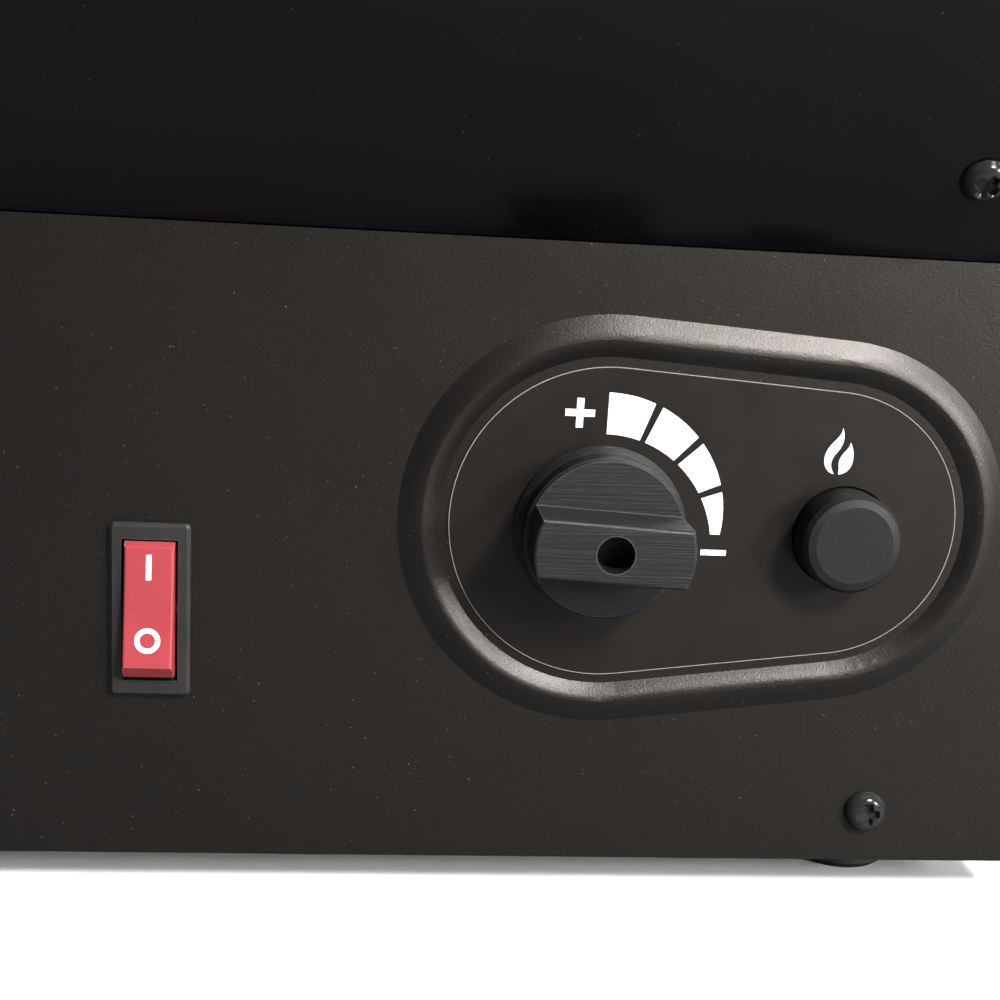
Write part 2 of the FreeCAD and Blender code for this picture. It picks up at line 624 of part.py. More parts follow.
def front_ring():
    ring = body("front_ring_body", z="axis_rise")
    profile = sketch(ring, "lip_section")
    start, face = "-(half_barrel - front_depth)", "-(half_barrel + lip_roll)"
    outline(profile, (start, "rim_inner"), (start, "rim_outer"), (f"{face} + 1.5", "rim_outer"),
            (face, "rim_outer - 1.5"), (face, "front_lip + 2"), (f"{face} + 2", "front_lip"),
            ("-half_barrel + 2", "front_lip"), ("-half_barrel + 2", "front_lip + lip_sheet"),
            (f"{face} + 2.5", "front_lip + lip_sheet"), (f"{face} + lip_sheet", "front_lip + 2.5"),
            (f"{face} + lip_sheet", "rim_inner - 0.8"), (f"{face} + 2.3", "rim_inner"))
    spin(ring, "rolled_lip", profile)
    node(ring, "front_ring")


def rear_guard():
    """Rings of wire on crossed bars, in a rim that slips over the end of the barrel."""
    back = "half_barrel + guard_stand"
    parts = [pipe_of("guard_band", "rim_outer", "rim_inner", "guard_rim + guard_stand + guard_wire",
                     "half_barrel - guard_rim", "0", "axis_rise", "X")]
    for k in range(1, int(size("guard_rings")) + 1):
        middle = f"guard_first + {k - 1} * guard_pitch"
        parts.append(pipe_of(f"guard_ring_{k}", f"{middle} + guard_wire / 2", f"{middle} - guard_wire / 2",
                             "guard_wire", back, "0", "axis_rise", "X"))
    parts.append(pipe_of("guard_edge_ring", "rim_outer", "rim_outer - guard_edge", "guard_wire", back, "0",
                         "axis_rise", "X"))
    for k in range(3):
        parts.append(spoke(f"guard_bar_{k}", (f"{back} - guard_wire / 2", f"{back} + guard_wire"),
                           "guard_wire",
                           ("-(rim_outer - 2)", "rim_outer - 2"), 60 * k + 30))
    node(fuse("guard", *parts), "rear_guard")


# Heat chamber, burner and what sits on its back plate
def combustion_chamber():
    chamber = body("chamber", z="axis_rise")
    section = sketch(chamber, "chamber_section", "YZ_Plane", "-chamber_front")
    circle(section, "0", "0", "chamber_radius")
    circle(section, "0", "0", "chamber_inner")
    feature(chamber, "Pad", "chamber_tube", section, "chamber_front + chamber_back")
    ports = sketch(chamber, "port_outline")
    for k in (1, 2):
        circle(ports, f"chamber_back - {k} * port_pitch", "0", "port_radius")
    row = feature(chamber, "Pocket", "port_pair", ports, "chamber_radius + 5", back=True)
    repeat(chamber, "port_rows", row, "port_count")
    node(chamber, "combustion_chamber")


def chamber_standoffs():
    """Bent straps that hold the heat chamber clear of the shells at three points near each end."""
    wide, run = size("standoff_width"), size("standoff_run")
    inner, sheet_size = size("chamber_radius"), size("sheet")
    outer = math.sqrt(size("shell_inner") ** 2 - (wide / 2) ** 2) - size("seat_gap")
    straps = []
    for x in (-size("chamber_front") + 30, size("chamber_back") - 60):
        spots = [(0, inner), (run, inner), (run, outer - sheet_size), (2 * run, outer - sheet_size),
                 (2 * run, outer),
                 (run - sheet_size, outer), (run - sheet_size, inner + sheet_size), (0, inner + sheet_size)]
        corners = [Vector(x + a, -wide / 2, b) for a, b in spots]
        strap = Part.Face(Part.makePolygon(corners + corners[:1])).extrude(Vector(0, wide, 0))
        for turn in (30, 150, 270):
            turned = strap.copy()
            turned.rotate(Vector(), Vector(1, 0, 0), turn)
            turned.translate(Vector(0, 0, size("axis_rise")))
            straps.append(turned)
    node(free_shape("standoffs", Part.makeCompound(straps)), "chamber_standoffs")


def chamber_back_plate():
    back = body("back_plate", z="axis_rise")
    disc = sketch(back, "back_outline", "YZ_Plane", "chamber_back - sheet")
    circle(disc, "0", "0", "chamber_inner")
    circle(disc, "0", "0", "burner_radius")
    feature(back, "Pad", "back_disc", disc, "sheet")
    holes = sketch(back, "lead_holes", "YZ_Plane")
    circle(holes, "electrode_y", "electrode_rise", "insulator_radius")
    circle(holes, "probe_y", "-probe_drop", "probe_radius")
    feature(back, "Pocket", "lead_bores", holes, "4 * chamber_back", both=True)
    slot = sketch(back, "air_slot_outline", "YZ_Plane")
    rectangle(slot, ("air_slot_start", "air_slot_end"), ("-air_slot_width / 2", "air_slot_width / 2"))
    first = feature(back, "Pocket", "air_slot", slot, "4 * chamber_back", both=True)
    repeat(back, "air_slots", first, "air_slot_count")
    node(back, "chamber_back_plate")


def outlet_baffle():
    """A dished disc on three arms across the hot end of the chamber, which spreads the flame."""
    baffle = body("baffle", z="axis_rise")
    profile = sketch(baffle, "dish_section")
    x = "-(chamber_front - baffle_depth)"
    outline(profile, (x, "0"), (x, "baffle_radius * 0.35"), (f"{x} + baffle_cone", "baffle_radius"),
            (f"{x} + baffle_cone + sheet", "baffle_radius"),
            (f"{x} + sheet", "baffle_radius * 0.35 - 1"), (f"{x} + sheet", "0"))
    spin(baffle, "dish", profile)
    arm = sketch(baffle, "arm_outline", "YZ_Plane", f"{x} + baffle_cone")
    rectangle(arm, ("baffle_radius - 2", "chamber_inner - 0.6"), ("-arm_width / 2", "arm_width / 2"))
    first = feature(baffle, "Pad", "arm", arm, "sheet")
    repeat(baffle, "arms", first, "3")
    node(baffle, "outlet_baffle")


def burner():
    head = body("burner", z="axis_rise")
    profile = sketch(head, "burner_section")
    back, front = "chamber_back + 8", "chamber_back - burner_length"
    wall = "burner_radius - burner_wall"
    outline(profile, (back, "nozzle_radius"), (back, "burner_radius - 3"), (f"{back} - 3", "burner_radius"),
            (front, "burner_radius"), (f"{front} - 6", "burner_radius + 5"),
            (f"{front} - 6", "burner_radius + 5 - burner_wall"), (front, wall),
            (f"{back} - 3 - burner_wall", wall), (f"{back} - burner_wall", "burner_radius - 4"),
            (f"{back} - burner_wall", "nozzle_radius"))
    spin(head, "burner_cup", profile)
    hole = sketch(head, "burner_port")
    circle(hole, f"{front} + 6", "0", "2.2")
    first = feature(head, "Pocket", "burner_hole", hole, "burner_radius + 8", back=True)
    repeat(head, "burner_ring", first, "burner_holes")
    node(head, "burner_head")
    nozzle = body("nozzle", z="axis_rise")
    spigot = sketch(nozzle, "nozzle_section")
    elbow = "knob_x - elbow_size / 2"
    outline(spigot, (elbow, "0.8"), (elbow, "nozzle_radius"), (f"{elbow} - nozzle_length", "nozzle_radius"),
            (f"{elbow} - nozzle_length - 3", "2"), (f"{elbow} - nozzle_length - 3", "0.8"))
    spin(nozzle, "nozzle_turned", spigot)
    node(nozzle, "gas_nozzle")
    half = "elbow_size / 2"
    cube = block("elbow_block", (f"knob_x - {half}", f"knob_x + {half}"), (f"-{half}", half),
                 (f"axis_rise - {half}", f"axis_rise + {half}"))
    across = cylinder("elbow_across", "1.6", half, "knob_x", "0", "axis_rise", "-X")
    down = cylinder("elbow_down", "tube_radius", "elbow_size / 2", "knob_x", "0", f"axis_rise - {half}")
    node(cut("elbow", cube, across, down), "nozzle_elbow")


def spark_and_flame_sensing():
    y, rise = "electrode_y", "axis_rise + electrode_rise"
    start = "chamber_back - insulator_length * 0.4"
    sleeve = pipe_of("insulator", "insulator_radius", "1.2", "insulator_length", start, y, rise, "X")
    collar = pipe_of("collar", "insulator_radius + 2", "insulator_radius - 0.5", "4", "chamber_back", y,
                     rise, "X")
    node(fuse("ceramic", sleeve, collar), "electrode_insulator")
    x0, up = size(start), size("axis_rise")
    ey, ez, tip = size(y), size("electrode_rise"), size("burner_radius") + 6
    reach = size("chamber_back") - size("burner_length") - 8
    lean = tip / math.hypot(ey, ez)
    rod = round_bar([(x0 + size("insulator_length"), ey, up + ez), (x0 - 6, ey, up + ez),
                     (reach, ey * lean, up + ez * lean)], 1.2, 3)
    node(free_shape("spark_rod", rod), "electrode_rod")
    probe = cylinder("probe_stick", "probe_radius", "probe_length", "chamber_back - probe_length * 0.6",
                     "probe_y",
                     "axis_rise - probe_drop", "X")
    ring = cylinder("probe_ring", "probe_radius + 2.5", "5", "chamber_back", "probe_y",
                    "axis_rise - probe_drop", "X")
    node(fuse("probe", probe, ring), "thermocouple")
    seat = "sqrt(shell_inner ^ 2 - limit_radius ^ 2)"
    can = cylinder("limit_can", "limit_radius", "limit_height", "limit_x", "0", f"axis_rise - {seat}")
    cap = cylinder("limit_cap", "limit_radius - 2", "4", "limit_x", "0",
                   f"axis_rise - {seat} + limit_height")
    tabs = [block(f"limit_tab_{a}", (f"limit_x + {a} - 0.4", f"limit_x + {a} + 0.4"), ("-3", "3"),
                  (f"axis_rise - {seat} + limit_height + 4", f"axis_rise - {seat} + limit_height + 12"))
            for a in (-3, 3)]
    node(fuse("limit", can, cap, *tabs), "limit_switch")


# Motor, its bracket, the shaft and the fan
def motor():
    can = body("motor_can", z="axis_rise")
    profile = sketch(can, "motor_section")
    outline(profile, ("motor_front", "0"), ("motor_front", "14"), ("motor_front + 4", "motor_radius - 3"),
            ("motor_front + 8", "motor_radius"), ("motor_back - 5", "motor_radius"),
            ("motor_back - 2", "motor_radius - 3"),
            ("motor_back", "12"), ("motor_back", "shaft_radius + run_gap"),
            ("motor_back - shaft_seat", "shaft_radius + run_gap"), ("motor_back - shaft_seat", "0"))
    spin(can, "motor_turned", profile)
    slot = sketch(can, "motor_vent", "XY_Plane", "motor_radius - 4")
    rectangle(slot, ("motor_front + 12", "motor_front + 26"), ("-2", "2"))
    first = feature(can, "Pocket", "motor_slot", slot, "10", back=True)
    repeat(can, "motor_slots", first, "8")
    node(can, "motor")


def motor_bracket():
    """A band inside the shells with four arms and a ring that grips the motor."""
    x = "bracket_x - band_width / 2"
    outer = "shell_inner - seat_gap"
    band = pipe_of("band", outer, f"{outer} - bracket_sheet", "band_width", x, "0", "axis_rise", "X")
    clamp = pipe_of("clamp", "motor_radius + 2", "motor_radius", "band_width", x, "0", "axis_rise", "X")
    arms = []
    for k in range(4):
        reach = ("motor_radius + 1", f"{outer} - bracket_sheet / 2")
        arms.append(spoke(f"bracket_arm_{k}", (x, f"{x} + arm_sheet"), "arm_width", reach, 90 * k))
    whole = fuse("bracket_whole", band, clamp, *arms)
    node(cut("bracket", whole, *bracket_bores("bracket_bore", "barrel_radius")), "motor_bracket")


def fan_blade(number):
    """One twisted blade, lofted outwards from inside the hub."""
    blade = body(f"blade_{number}", z="axis_rise")
    blade.Placement.Rotation = Rotation(Vector(1, 0, 0), 360 / size("fan_blades") * number)
    sections = []
    for name, radius, chord, pitch in (("root", "hub_radius - 3", "root_chord", "root_pitch"),
                                       ("middle", "fan_radius * 0.55", "mid_chord", "mid_pitch"),
                                       ("tip", "fan_radius", "tip_chord", "tip_pitch")):
        section = sketch(blade, f"blade_{name}_{number}", "XY_Plane", radius)
        corners = []
        for a, b in ((-1, -1), (1, -1), (1, 1), (-1, 1)):
            along, through = f"{a} * ({chord}) / 2", f"{b} * blade_sheet / 2"
            forward = f"({along}) * sin({pitch}) + ({through}) * cos({pitch})"
            sideways = f"({along}) * cos({pitch}) - ({through}) * sin({pitch})"
            corners.append((f"hub_start + hub_length / 2 + {forward}", sideways))
        outline(section, *corners)
        sections.append(section)
    loft = blade.newObject("PartDesign::AdditiveLoft", f"blade_loft_{number}")
    loft.Profile = sections[0]
    loft.Sections = sections[1:]
    return blade


def fan():
    start = "motor_back - shaft_seat + 1"
    node(cylinder("shaft", "shaft_radius", f"shaft_end - ({start})", start, "0", "axis_rise", "X"),
         "motor_shaft")
    wheel = body("fan_wheel", z="axis_rise")
    hub = sketch(wheel, "hub_section")
    outline(hub, ("hub_start", "shaft_radius"), ("hub_start", "hub_radius - 1"),
            ("hub_start + 1", "hub_radius"),
            ("hub_start + hub_length - 1", "hub_radius"), ("hub_start + hub_length", "hub_radius - 1"),
            ("hub_start + hub_length", "shaft_radius"))
    spin(wheel, "hub", hub)
    blades = [fan_blade(k) for k in range(int(size("fan_blades")))]
    node(fuse("fan", wheel, *blades), "fan_blade")
    hexagon = prism("fan_nut_hexagon", "nut_flats", "nut_length", "hub_start + hub_length", "0",
                    "axis_rise", "X")
    thread = cylinder("fan_nut_thread", "shaft_radius", "2 * nut_length",
                      "hub_start + hub_length - nut_length / 2",
                      "0", "axis_rise", "X")
    node(cut("fan_nut", hexagon, thread), "fan_nut")


# Controls on the panel
def rocker_switch():
    housing = panel_body("switch_body", "rocker_x", "rocker_rise")
    rim = sketch(housing, "bezel_outline")
    rectangle(rim, ("-bezel_width / 2", "bezel_width / 2"), ("-bezel_height / 2", "bezel_height / 2"))
    plate = feature(housing, "Pad", "bezel", rim, "bezel_depth")
    corners = soften(housing, "bezel_corners", plate, "Fillet", "0.8",
                     lambda e: abs(e.tangentAt(e.FirstParameter).z) > 0.9)
    edges = soften(housing, "bezel_edges", corners, "Chamfer", "0.5",
                   lambda e: e.BoundBox.ZMin > size("bezel_depth") - 0.01)
    box = sketch(housing, "switch_outline")
    rectangle(box, ("-switch_width / 2", "switch_width / 2"), ("-switch_height / 2", "switch_height / 2"))
    feature(housing, "Pad", "switch_case", box, "switch_depth", back=True)
    well = sketch(housing, "well_outline", offset="bezel_depth")
    rectangle(well, ("-opening_side", "opening_side"), ("-opening_half", "opening_half"))
    feature(housing, "Pocket", "well", well, "bezel_depth + 12")
    bore = sketch(housing, "pivot_bore", "YZ_Plane")
    circle(bore, "0", "-pivot_depth", "pivot_radius + run_gap")
    feature(housing, "Pocket", "pivot_holes", bore, "rocker_width + 2 * rocker_gap + 1.2", both=True)
    node(housing, "rocker_housing")

    key = panel_body("rocker_body", "rocker_x", "rocker_rise", "-pivot_depth")
    tilt = Rotation(Vector(1, 0, 0), -size("rocker_tilt"))
    key.Placement.Rotation = TURNS["panel"].multiply(tilt)
    side = sketch(key, "rocker_side", "YZ_Plane")
    outline(side, ("-rocker_half", "-1.5"), ("-rocker_half", "rocker_face - 2.1"),
            ("-rocker_half + 2", "rocker_face"),
            ("0", "rocker_face - 0.25"), ("rocker_half - 1", "rocker_face"),
            ("rocker_half", "rocker_face - 1"),
            ("rocker_half", "-1.5"), ("5", "-4.5"), ("-5", "-4.5"))
    solid = feature(key, "Pad", "rocker_solid", side, "rocker_width", both=True)
    front = size("rocker_face") - 0.5
    soften(key, "rocker_edges", solid, "Fillet", "0.5",
           lambda e: e.Length > 5 and e.BoundBox.XLength < 0.01 and e.BoundBox.ZMin > front)
    trunnion = sketch(key, "trunnion_outline", "YZ_Plane")
    circle(trunnion, "0", "0", "pivot_radius")
    feature(key, "Pad", "trunnions", trunnion, "rocker_width + 2 * rocker_gap + 0.8", both=True)
    node(key, "rocker")

    tabs = []
    for i, v in enumerate(("-8", "0", "8")):
        rise = f"foot_height + rocker_rise + {v}"
        tabs.append(block(f"terminal_{i}", ("rocker_x - 2.4", "rocker_x + 2.4"),
                          ("-panel_face + switch_depth", "-panel_face + switch_depth + 8"),
                          (f"{rise} - 0.4", f"{rise} + 0.4")))
    node(fuse("terminals", *tabs), "rocker_terminals")


def knob():
    cap = panel_body("knob_body", "knob_x", "knob_rise")
    profile = sketch(cap, "knob_section", "XZ_Plane")
    outline(profile, ("0", "knob_gap"), ("knob_base", "knob_gap"), ("knob_base", "knob_gap + 1"),
            ("knob_radius", "knob_gap + 2.2"), ("knob_radius", "knob_shoulder - 0.5"),
            ("knob_radius - 0.5", "knob_shoulder"), ("0", "knob_shoulder"))
    spin(cap, "knob_disc", profile, axis="V_Axis")
    grip = sketch(cap, "grip_outline", offset="knob_shoulder - 1")
    slab(grip, "grip_width / 2", "grip_reach", "grip_turn")
    bar = feature(cap, "Pad", "grip", grip, "knob_height - knob_shoulder + 1")
    soften(cap, "grip_edges", bar, "Fillet", "0.6", lambda e: e.BoundBox.ZMin > size("knob_height") - 0.01)
    hole = sketch(cap, "hole_outline", offset="knob_height")
    circle(hole, "0", "0", "knob_hole")
    feature(cap, "Pocket", "grip_hole", hole, "hole_depth")
    recess = sketch(cap, "recess_outline", offset="knob_gap")
    circle(recess, "0", "0", "knob_recess")
    feature(cap, "Pocket", "knob_recess_cut", recess, "recess_depth", back=True)
    seat = sketch(cap, "stem_seat_outline", offset="knob_gap")
    d_outline(seat, "stem_radius", "stem_flat")
    feature(cap, "Pocket", "stem_seat", seat, "stem_out - knob_gap", back=True)
    node(cap, "knob")

    stem = panel_body("stem_body", "knob_x", "knob_rise")
    round_part = sketch(stem, "stem_outline", offset="-stem_in")
    circle(round_part, "0", "0", "stem_radius")
    feature(stem, "Pad", "stem_round", round_part, "stem_in + bush_out + 0.5")
    flat_part = sketch(stem, "stem_flat_outline")
    d_outline(flat_part, "stem_radius", "stem_flat")
    feature(stem, "Pad", "stem_keyed", flat_part, "stem_out")
    node(stem, "valve_stem")


def d_outline(drawing, radius, flat):
    """A circle with one flat side, as on a keyed stem."""
    r, d = size(radius), size(flat)
    swing = math.asin(d / r)
    ring = Part.Circle(Vector(), Vector(0, 0, 1), r)
    drawing.addGeometry(Part.ArcOfCircle(ring, math.pi - swing, 2 * math.pi + swing), False)
    drawing.addGeometry(Part.LineSegment(drawing.getPoint(0, 2), drawing.getPoint(0, 1)), False)
    drawing.addConstraint(Sketcher.Constraint("Coincident", 0, 3, -1, 1))
    drawing.addConstraint(Sketcher.Constraint("Coincident", 1, 1, 0, 2))
    drawing.addConstraint(Sketcher.Constraint("Coincident", 1, 2, 0, 1))
    drawing.addConstraint(Sketcher.Constraint("Horizontal", 1))
    fix(drawing, "Radius", 0, radius)
    fix(drawing, "DistanceY", -1, 1, 1, 1, flat)


def igniter():
    push = panel_body("button_body", "button_x", "button_rise")
    profile = sketch(push, "button_section", "XZ_Plane")
    outline(profile, ("0", "-button_skirt - 12"), ("button_stem", "-button_skirt - 12"),
            ("button_stem", "-button_skirt"),
            ("button_radius", "-button_skirt"), ("button_radius", "button_height - button_drop"),
            ("button_radius - 0.7", "button_height - 0.35"),
            ("button_radius - button_bevel", "button_height"), ("0", "button_height"))
    spin(push, "button_turned", profile, axis="V_Axis")
    node(push, "igniter_button")
    case = panel_body("igniter_case", "button_x", "button_rise")
    shape = sketch(case, "igniter_section", "XZ_Plane")
    bore, deep = "button_radius + button_gap", "button_skirt + button_travel + 1"
    outline(shape, (bore, "-sheet"), ("igniter_flange", "-sheet"), ("igniter_flange", "-sheet - 2"),
            ("igniter_radius", "-sheet - 2"), ("igniter_radius", "-igniter_length"), ("3", "-igniter_length"),
            ("3", "-igniter_length - 3"), ("0", "-igniter_length - 3"), ("0", f"-({deep}) - 14"),
            ("button_stem + run_gap", f"-({deep}) - 14"),
            ("button_stem + run_gap", f"-({deep})"), (bore, f"-({deep})"))
    spin(case, "igniter_turned", shape, axis="V_Axis")
    node(case, "igniter_body")


# Gas train in the base
def gas_train():
    rise = "foot_height + knob_rise"
    half = "valve_width / 2"
    lump = block("valve_block", (f"knob_x - {half}", f"knob_x + {half}"), ("-valve_front", "-valve_back"),
                 (f"{rise} - valve_height / 2", f"{rise} + valve_height / 2"))
    bush = cylinder("valve_bush", "bush_radius", "sheet + label_sheet + bush_out", "knob_x", "-panel_back",
                    rise, "panel")
    port = cylinder("valve_port", "tube_radius + 2", "8", f"knob_x + {half}",
                    "-(valve_front + valve_back) / 2",
                    f"{rise} - 8", "X")
    outlet = cylinder("valve_outlet", "tube_radius + 2", "6", "knob_x", "-valve_back", rise, "Y")
    bore = cylinder("valve_bore", "stem_radius + run_gap", "stem_in + 2 * bush_out + 1", "knob_x",
                    "-(panel_face - stem_in - 0.5)", rise, "panel")
    node(cut("valve", fuse("valve_lump", lump, bush, port, outlet), bore), "valve_body")
    hexagon = prism("valve_nut_hexagon", "14", "2.4", "knob_x", "-panel_face - label_sheet", rise, "panel")
    thread = cylinder("valve_nut_thread", "bush_radius", "6", "knob_x", "-panel_face", rise, "panel")
    node(cut("valve_nut", hexagon, thread), "valve_nut")
    low = f"{rise} - valve_height / 2"
    can = cylinder("coil_can", "coil_radius", "coil_length", "knob_x", "-(valve_front + valve_back) / 2",
                   f"{low} - coil_length")
    tip = cylinder("coil_tip", "coil_radius - 5", "3", "knob_x", "-(valve_front + valve_back) / 2",
                   f"{low} - coil_length - 3")
    node(fuse("coil", can, tip), "solenoid_coil")

    valve_y, port_rise = -(size("valve_front") + size("valve_back")) / 2, size(f"{rise} - 8")
    start_x, end_x = size(f"knob_x + {half}") + 8, size("half_base - sheet - inlet_tail")
    inlet_y, inlet_z = size("inlet_y"), size("foot_height + inlet_rise")
    middle = start_x + size("feed_bend") + 0.2
    feed = round_bar([(start_x, valve_y, port_rise), (middle, valve_y, port_rise),
                      (middle, inlet_y, inlet_z),
                      (end_x, inlet_y, inlet_z)], size("tube_radius"), size("feed_bend"))
    node(free_shape("feed", feed), "inlet_tube")
    up = size("axis_rise") - size("elbow_size") / 2
    x, z = size("knob_x"), size(rise)
    riser = round_bar([(x, -size("valve_back") + 6, z), (x, 0, z), (x, 0, up + 6)], size("tube_radius"),
                      size("tube_bend"))
    node(free_shape("riser", riser), "burner_tube")

    y, z = "inlet_y", "foot_height + inlet_rise"
    flange = prism("inlet_hexagon", "inlet_flats", "inlet_flange", "half_base", y, z, "X")
    thread = cylinder("inlet_thread", "inlet_thread", "inlet_reach", "half_base + inlet_flange", y, z, "X")
    shank = cylinder("inlet_shank", "inlet_thread", "sheet + inlet_tail", "half_base - sheet - inlet_tail",
                     y, z, "X")
    bore = cylinder("inlet_way", "inlet_bore", "inlet_reach + inlet_flange + sheet + inlet_tail - 2",
                    "half_base - sheet - inlet_tail + 2", y, z, "X")
    node(cut("inlet", fuse("inlet_solid", flange, thread, shank), bore), "gas_inlet_fitting")
    nut = prism("lock_nut_hexagon", "inlet_flats + 2", "lock_nut", "half_base - sheet - lock_nut", y, z,
                "X")
    way = cylinder("lock_nut_way", "inlet_thread", "lock_nut", "half_base - sheet - lock_nut", y, z, "X")
    node(cut("lock_nut_cut", nut, way), "inlet_lock_nut")


def cord_gland():
    y, z = "gland_y", "foot_height + gland_rise"
    flange = cylinder("gland_flange", "gland_flange", "3", "half_base", y, z, "X")
    nose = doc.addObject("Part::Cone", "gland_nose")
    nose.setExpression("Radius1", cells("gland_body + 1"))
    nose.setExpression("Radius2", cells("gland_bore + 1.5"))
    nose.setExpression("Height", cells("gland_reach"))
    place(nose, "half_base + 3", y, z, "X")
    shank = cylinder("gland_shank", "gland_body", "sheet + 5", "half_base - sheet - 5", y, z, "X")
    clip = cylinder("gland_clip", "gland_body + 1.5", "3", "half_base - sheet - 3", y, z, "X")
    bore = cylinder("gland_way", "gland_bore", "gland_reach + 8 + sheet", "half_base - sheet - 5", y, z,
                    "X")
    node(cut("gland", fuse("gland_solid", flange, nose, shank, clip), bore), "cord_gland")


def igniter_lead():
    """The high-tension lead from the back of the igniter to the back of the electrode."""
    x, z = size("button_x"), size("foot_height + button_rise")
    back = -size("panel_face") + size("igniter_length") + 3
    ey, ez = size("electrode_y"), size("axis_rise + electrode_rise")
    tail = size("chamber_back + insulator_length * 0.6")
    turn_x = size("knob_x + elbow_size / 2") + 6
    lead = round_bar([(x, back, z), (x, ey, z), (turn_x, ey, z + 18), (turn_x, ey, ez), (tail, ey, ez)],
                     size("lead_radius"), 4)
    node(free_shape("lead", lead), "igniter_lead")


# Handle
def handle():
    half, rise = size("handle_half"), size("axis_rise + grip_axis")
    top = size("axis_rise + shell_outer + seat_gap")
    loop = free_shape("handle_loop", round_bar([(-half, 0, top + 1), (-half, 0, rise), (half, 0, rise),
                                                (half, 0, top + 1)],
                                               size("handle_tube"), size("handle_bend")))
    pads, bores = [], []
    for a in (-1, 1):
        pads.append(block(f"pad_{a}", (f"{a} * handle_half - pad_half", f"{a} * handle_half + pad_half"),
                          ("-pad_width / 2", "pad_width / 2"),
                          (above_axis("barrel_radius - 4"), above_axis("shell_outer + pad_sheet"))))
        bores += [cylinder(f"pad_bore_{a}_{b}", "screw_hole", "30", f"{a} * handle_half + {b} * pad_screw",
                           "0",
                           above_axis("barrel_radius - 10")) for b in (-1, 1)]
    barrel = cylinder("pad_barrel", "shell_outer + seat_gap", "2 * barrel_length", "-barrel_length", "0",
                      "axis_rise", "X")
    node(cut("handle_solid", fuse("handle_whole", loop, *pads), barrel, *bores), "handle")
    grip = pipe_of("grip_sleeve", "grip_radius", "handle_tube", "2 * grip_half", "-grip_half", "0",
                   above_axis("grip_axis"), "X")
    node(grip, "handle_grip")


# Fasteners, in groups of like screws
def fasteners():
    length = size("screw_length")
    face, z0 = size("panel_face"), size("foot_height")
    low, inset = size("low_screw_x"), size("half_base") - size("end_screw_inset")
    spots = [(low, size("low_screw_rise")), (-low, size("low_screw_rise")), (inset, size("end_screw_rise")),
             (-inset, size("end_screw_rise"))]
    screws("panel_screws", [((x, w * face, z0 + z), (0, w, 0)) for x, z in spots for w in (-1, 1)], length)
    up, radius, lap = size("axis_rise"), size("shell_outer"), size("shell_lap") / 2
    rows = [size("seam_screw_x") - k * size("seam_screw_step") for k in range(4)]
    screws("shell_screws", [((x, w * radius, up - lap), (0, w, 0)) for x in rows for w in (-1, 1)], length)
    places = []
    for i, turn in enumerate(bracket_turns()):
        out = Vector(0, math.sin(math.radians(turn)), math.cos(math.radians(turn)))
        reach = size("barrel_radius") if out.z < 0 else radius
        places.append((Vector(size("bracket_x"), 0, up) + out * reach, out))
    screws("bracket_screws", places, length)
    pad = up + size("shell_outer + pad_sheet")
    places = [((a * size("handle_half") + b * size("pad_screw"), 0, pad), (0, 0, 1)) for a in (-1, 1)
              for b in (-1, 1)]
    screws("handle_screws", places, length + size("pad_sheet"))


base_pan()
rubber_feet()
end_plates()
side_panels()
label_plate()
shells()
front_ring()
rear_guard()
combustion_chamber()
chamber_standoffs()
chamber_back_plate()
outlet_baffle()
burner()
spark_and_flame_sensing()
motor()
motor_bracket()
fan()
rocker_switch()
knob()
igniter()
gas_train()
cord_gland()
igniter_lead()
handle()
fasteners()
doc.recompute()

# Every object has to be sound before anything is written
bad = [o.Name for o in doc.Objects if "Invalid" in o.State or "Error" in o.State]
if bad:
    raise RuntimeError(f"failed objects: {bad}")
for thing in NODES:
    if thing.Shape.isNull() or not thing.Shape.isValid() or thing.Shape.Volume <= 0:
        raise RuntimeError(f"bad shape: {thing.Label}")
for thing in NODES:
    thing.Shape.exportStep(f"parts/{thing.Label}.step")
    corner = thing.Shape.BoundBox
    print(f"{thing.Label}: {len(thing.Shape.Solids)} solids, {thing.Shape.Volume:.1f} mm3, "
          f"x {corner.XMin:.1f} {corner.XMax:.1f}, y {corner.YMin:.1f} {corner.YMax:.1f}, "
          f"z {corner.ZMin:.1f} {corner.ZMax:.1f}")
print(len(NODES), "nodes")
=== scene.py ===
import json
import math
import random

import bmesh
import bpy
from mathutils import Matrix, Vector


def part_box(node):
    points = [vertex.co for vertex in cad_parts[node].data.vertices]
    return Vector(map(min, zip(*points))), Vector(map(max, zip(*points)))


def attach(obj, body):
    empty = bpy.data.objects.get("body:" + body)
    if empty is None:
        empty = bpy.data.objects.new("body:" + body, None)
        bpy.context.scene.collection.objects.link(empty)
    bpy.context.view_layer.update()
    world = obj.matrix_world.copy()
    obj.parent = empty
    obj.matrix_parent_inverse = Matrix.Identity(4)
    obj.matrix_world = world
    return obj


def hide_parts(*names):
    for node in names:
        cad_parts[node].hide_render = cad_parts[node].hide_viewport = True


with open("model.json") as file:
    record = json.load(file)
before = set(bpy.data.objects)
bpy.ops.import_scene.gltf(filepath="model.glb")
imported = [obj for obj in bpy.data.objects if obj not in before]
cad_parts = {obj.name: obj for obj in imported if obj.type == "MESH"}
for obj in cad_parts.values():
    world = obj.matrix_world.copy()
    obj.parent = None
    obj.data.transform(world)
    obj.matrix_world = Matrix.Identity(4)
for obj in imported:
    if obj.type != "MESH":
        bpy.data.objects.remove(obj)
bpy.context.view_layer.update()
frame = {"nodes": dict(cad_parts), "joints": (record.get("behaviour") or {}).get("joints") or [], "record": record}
scene = bpy.context.scene
MM = 0.001


def middle_of(node):
    """The middle of a node's box at rest."""
    low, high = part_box(node)
    return (low + high) / 2


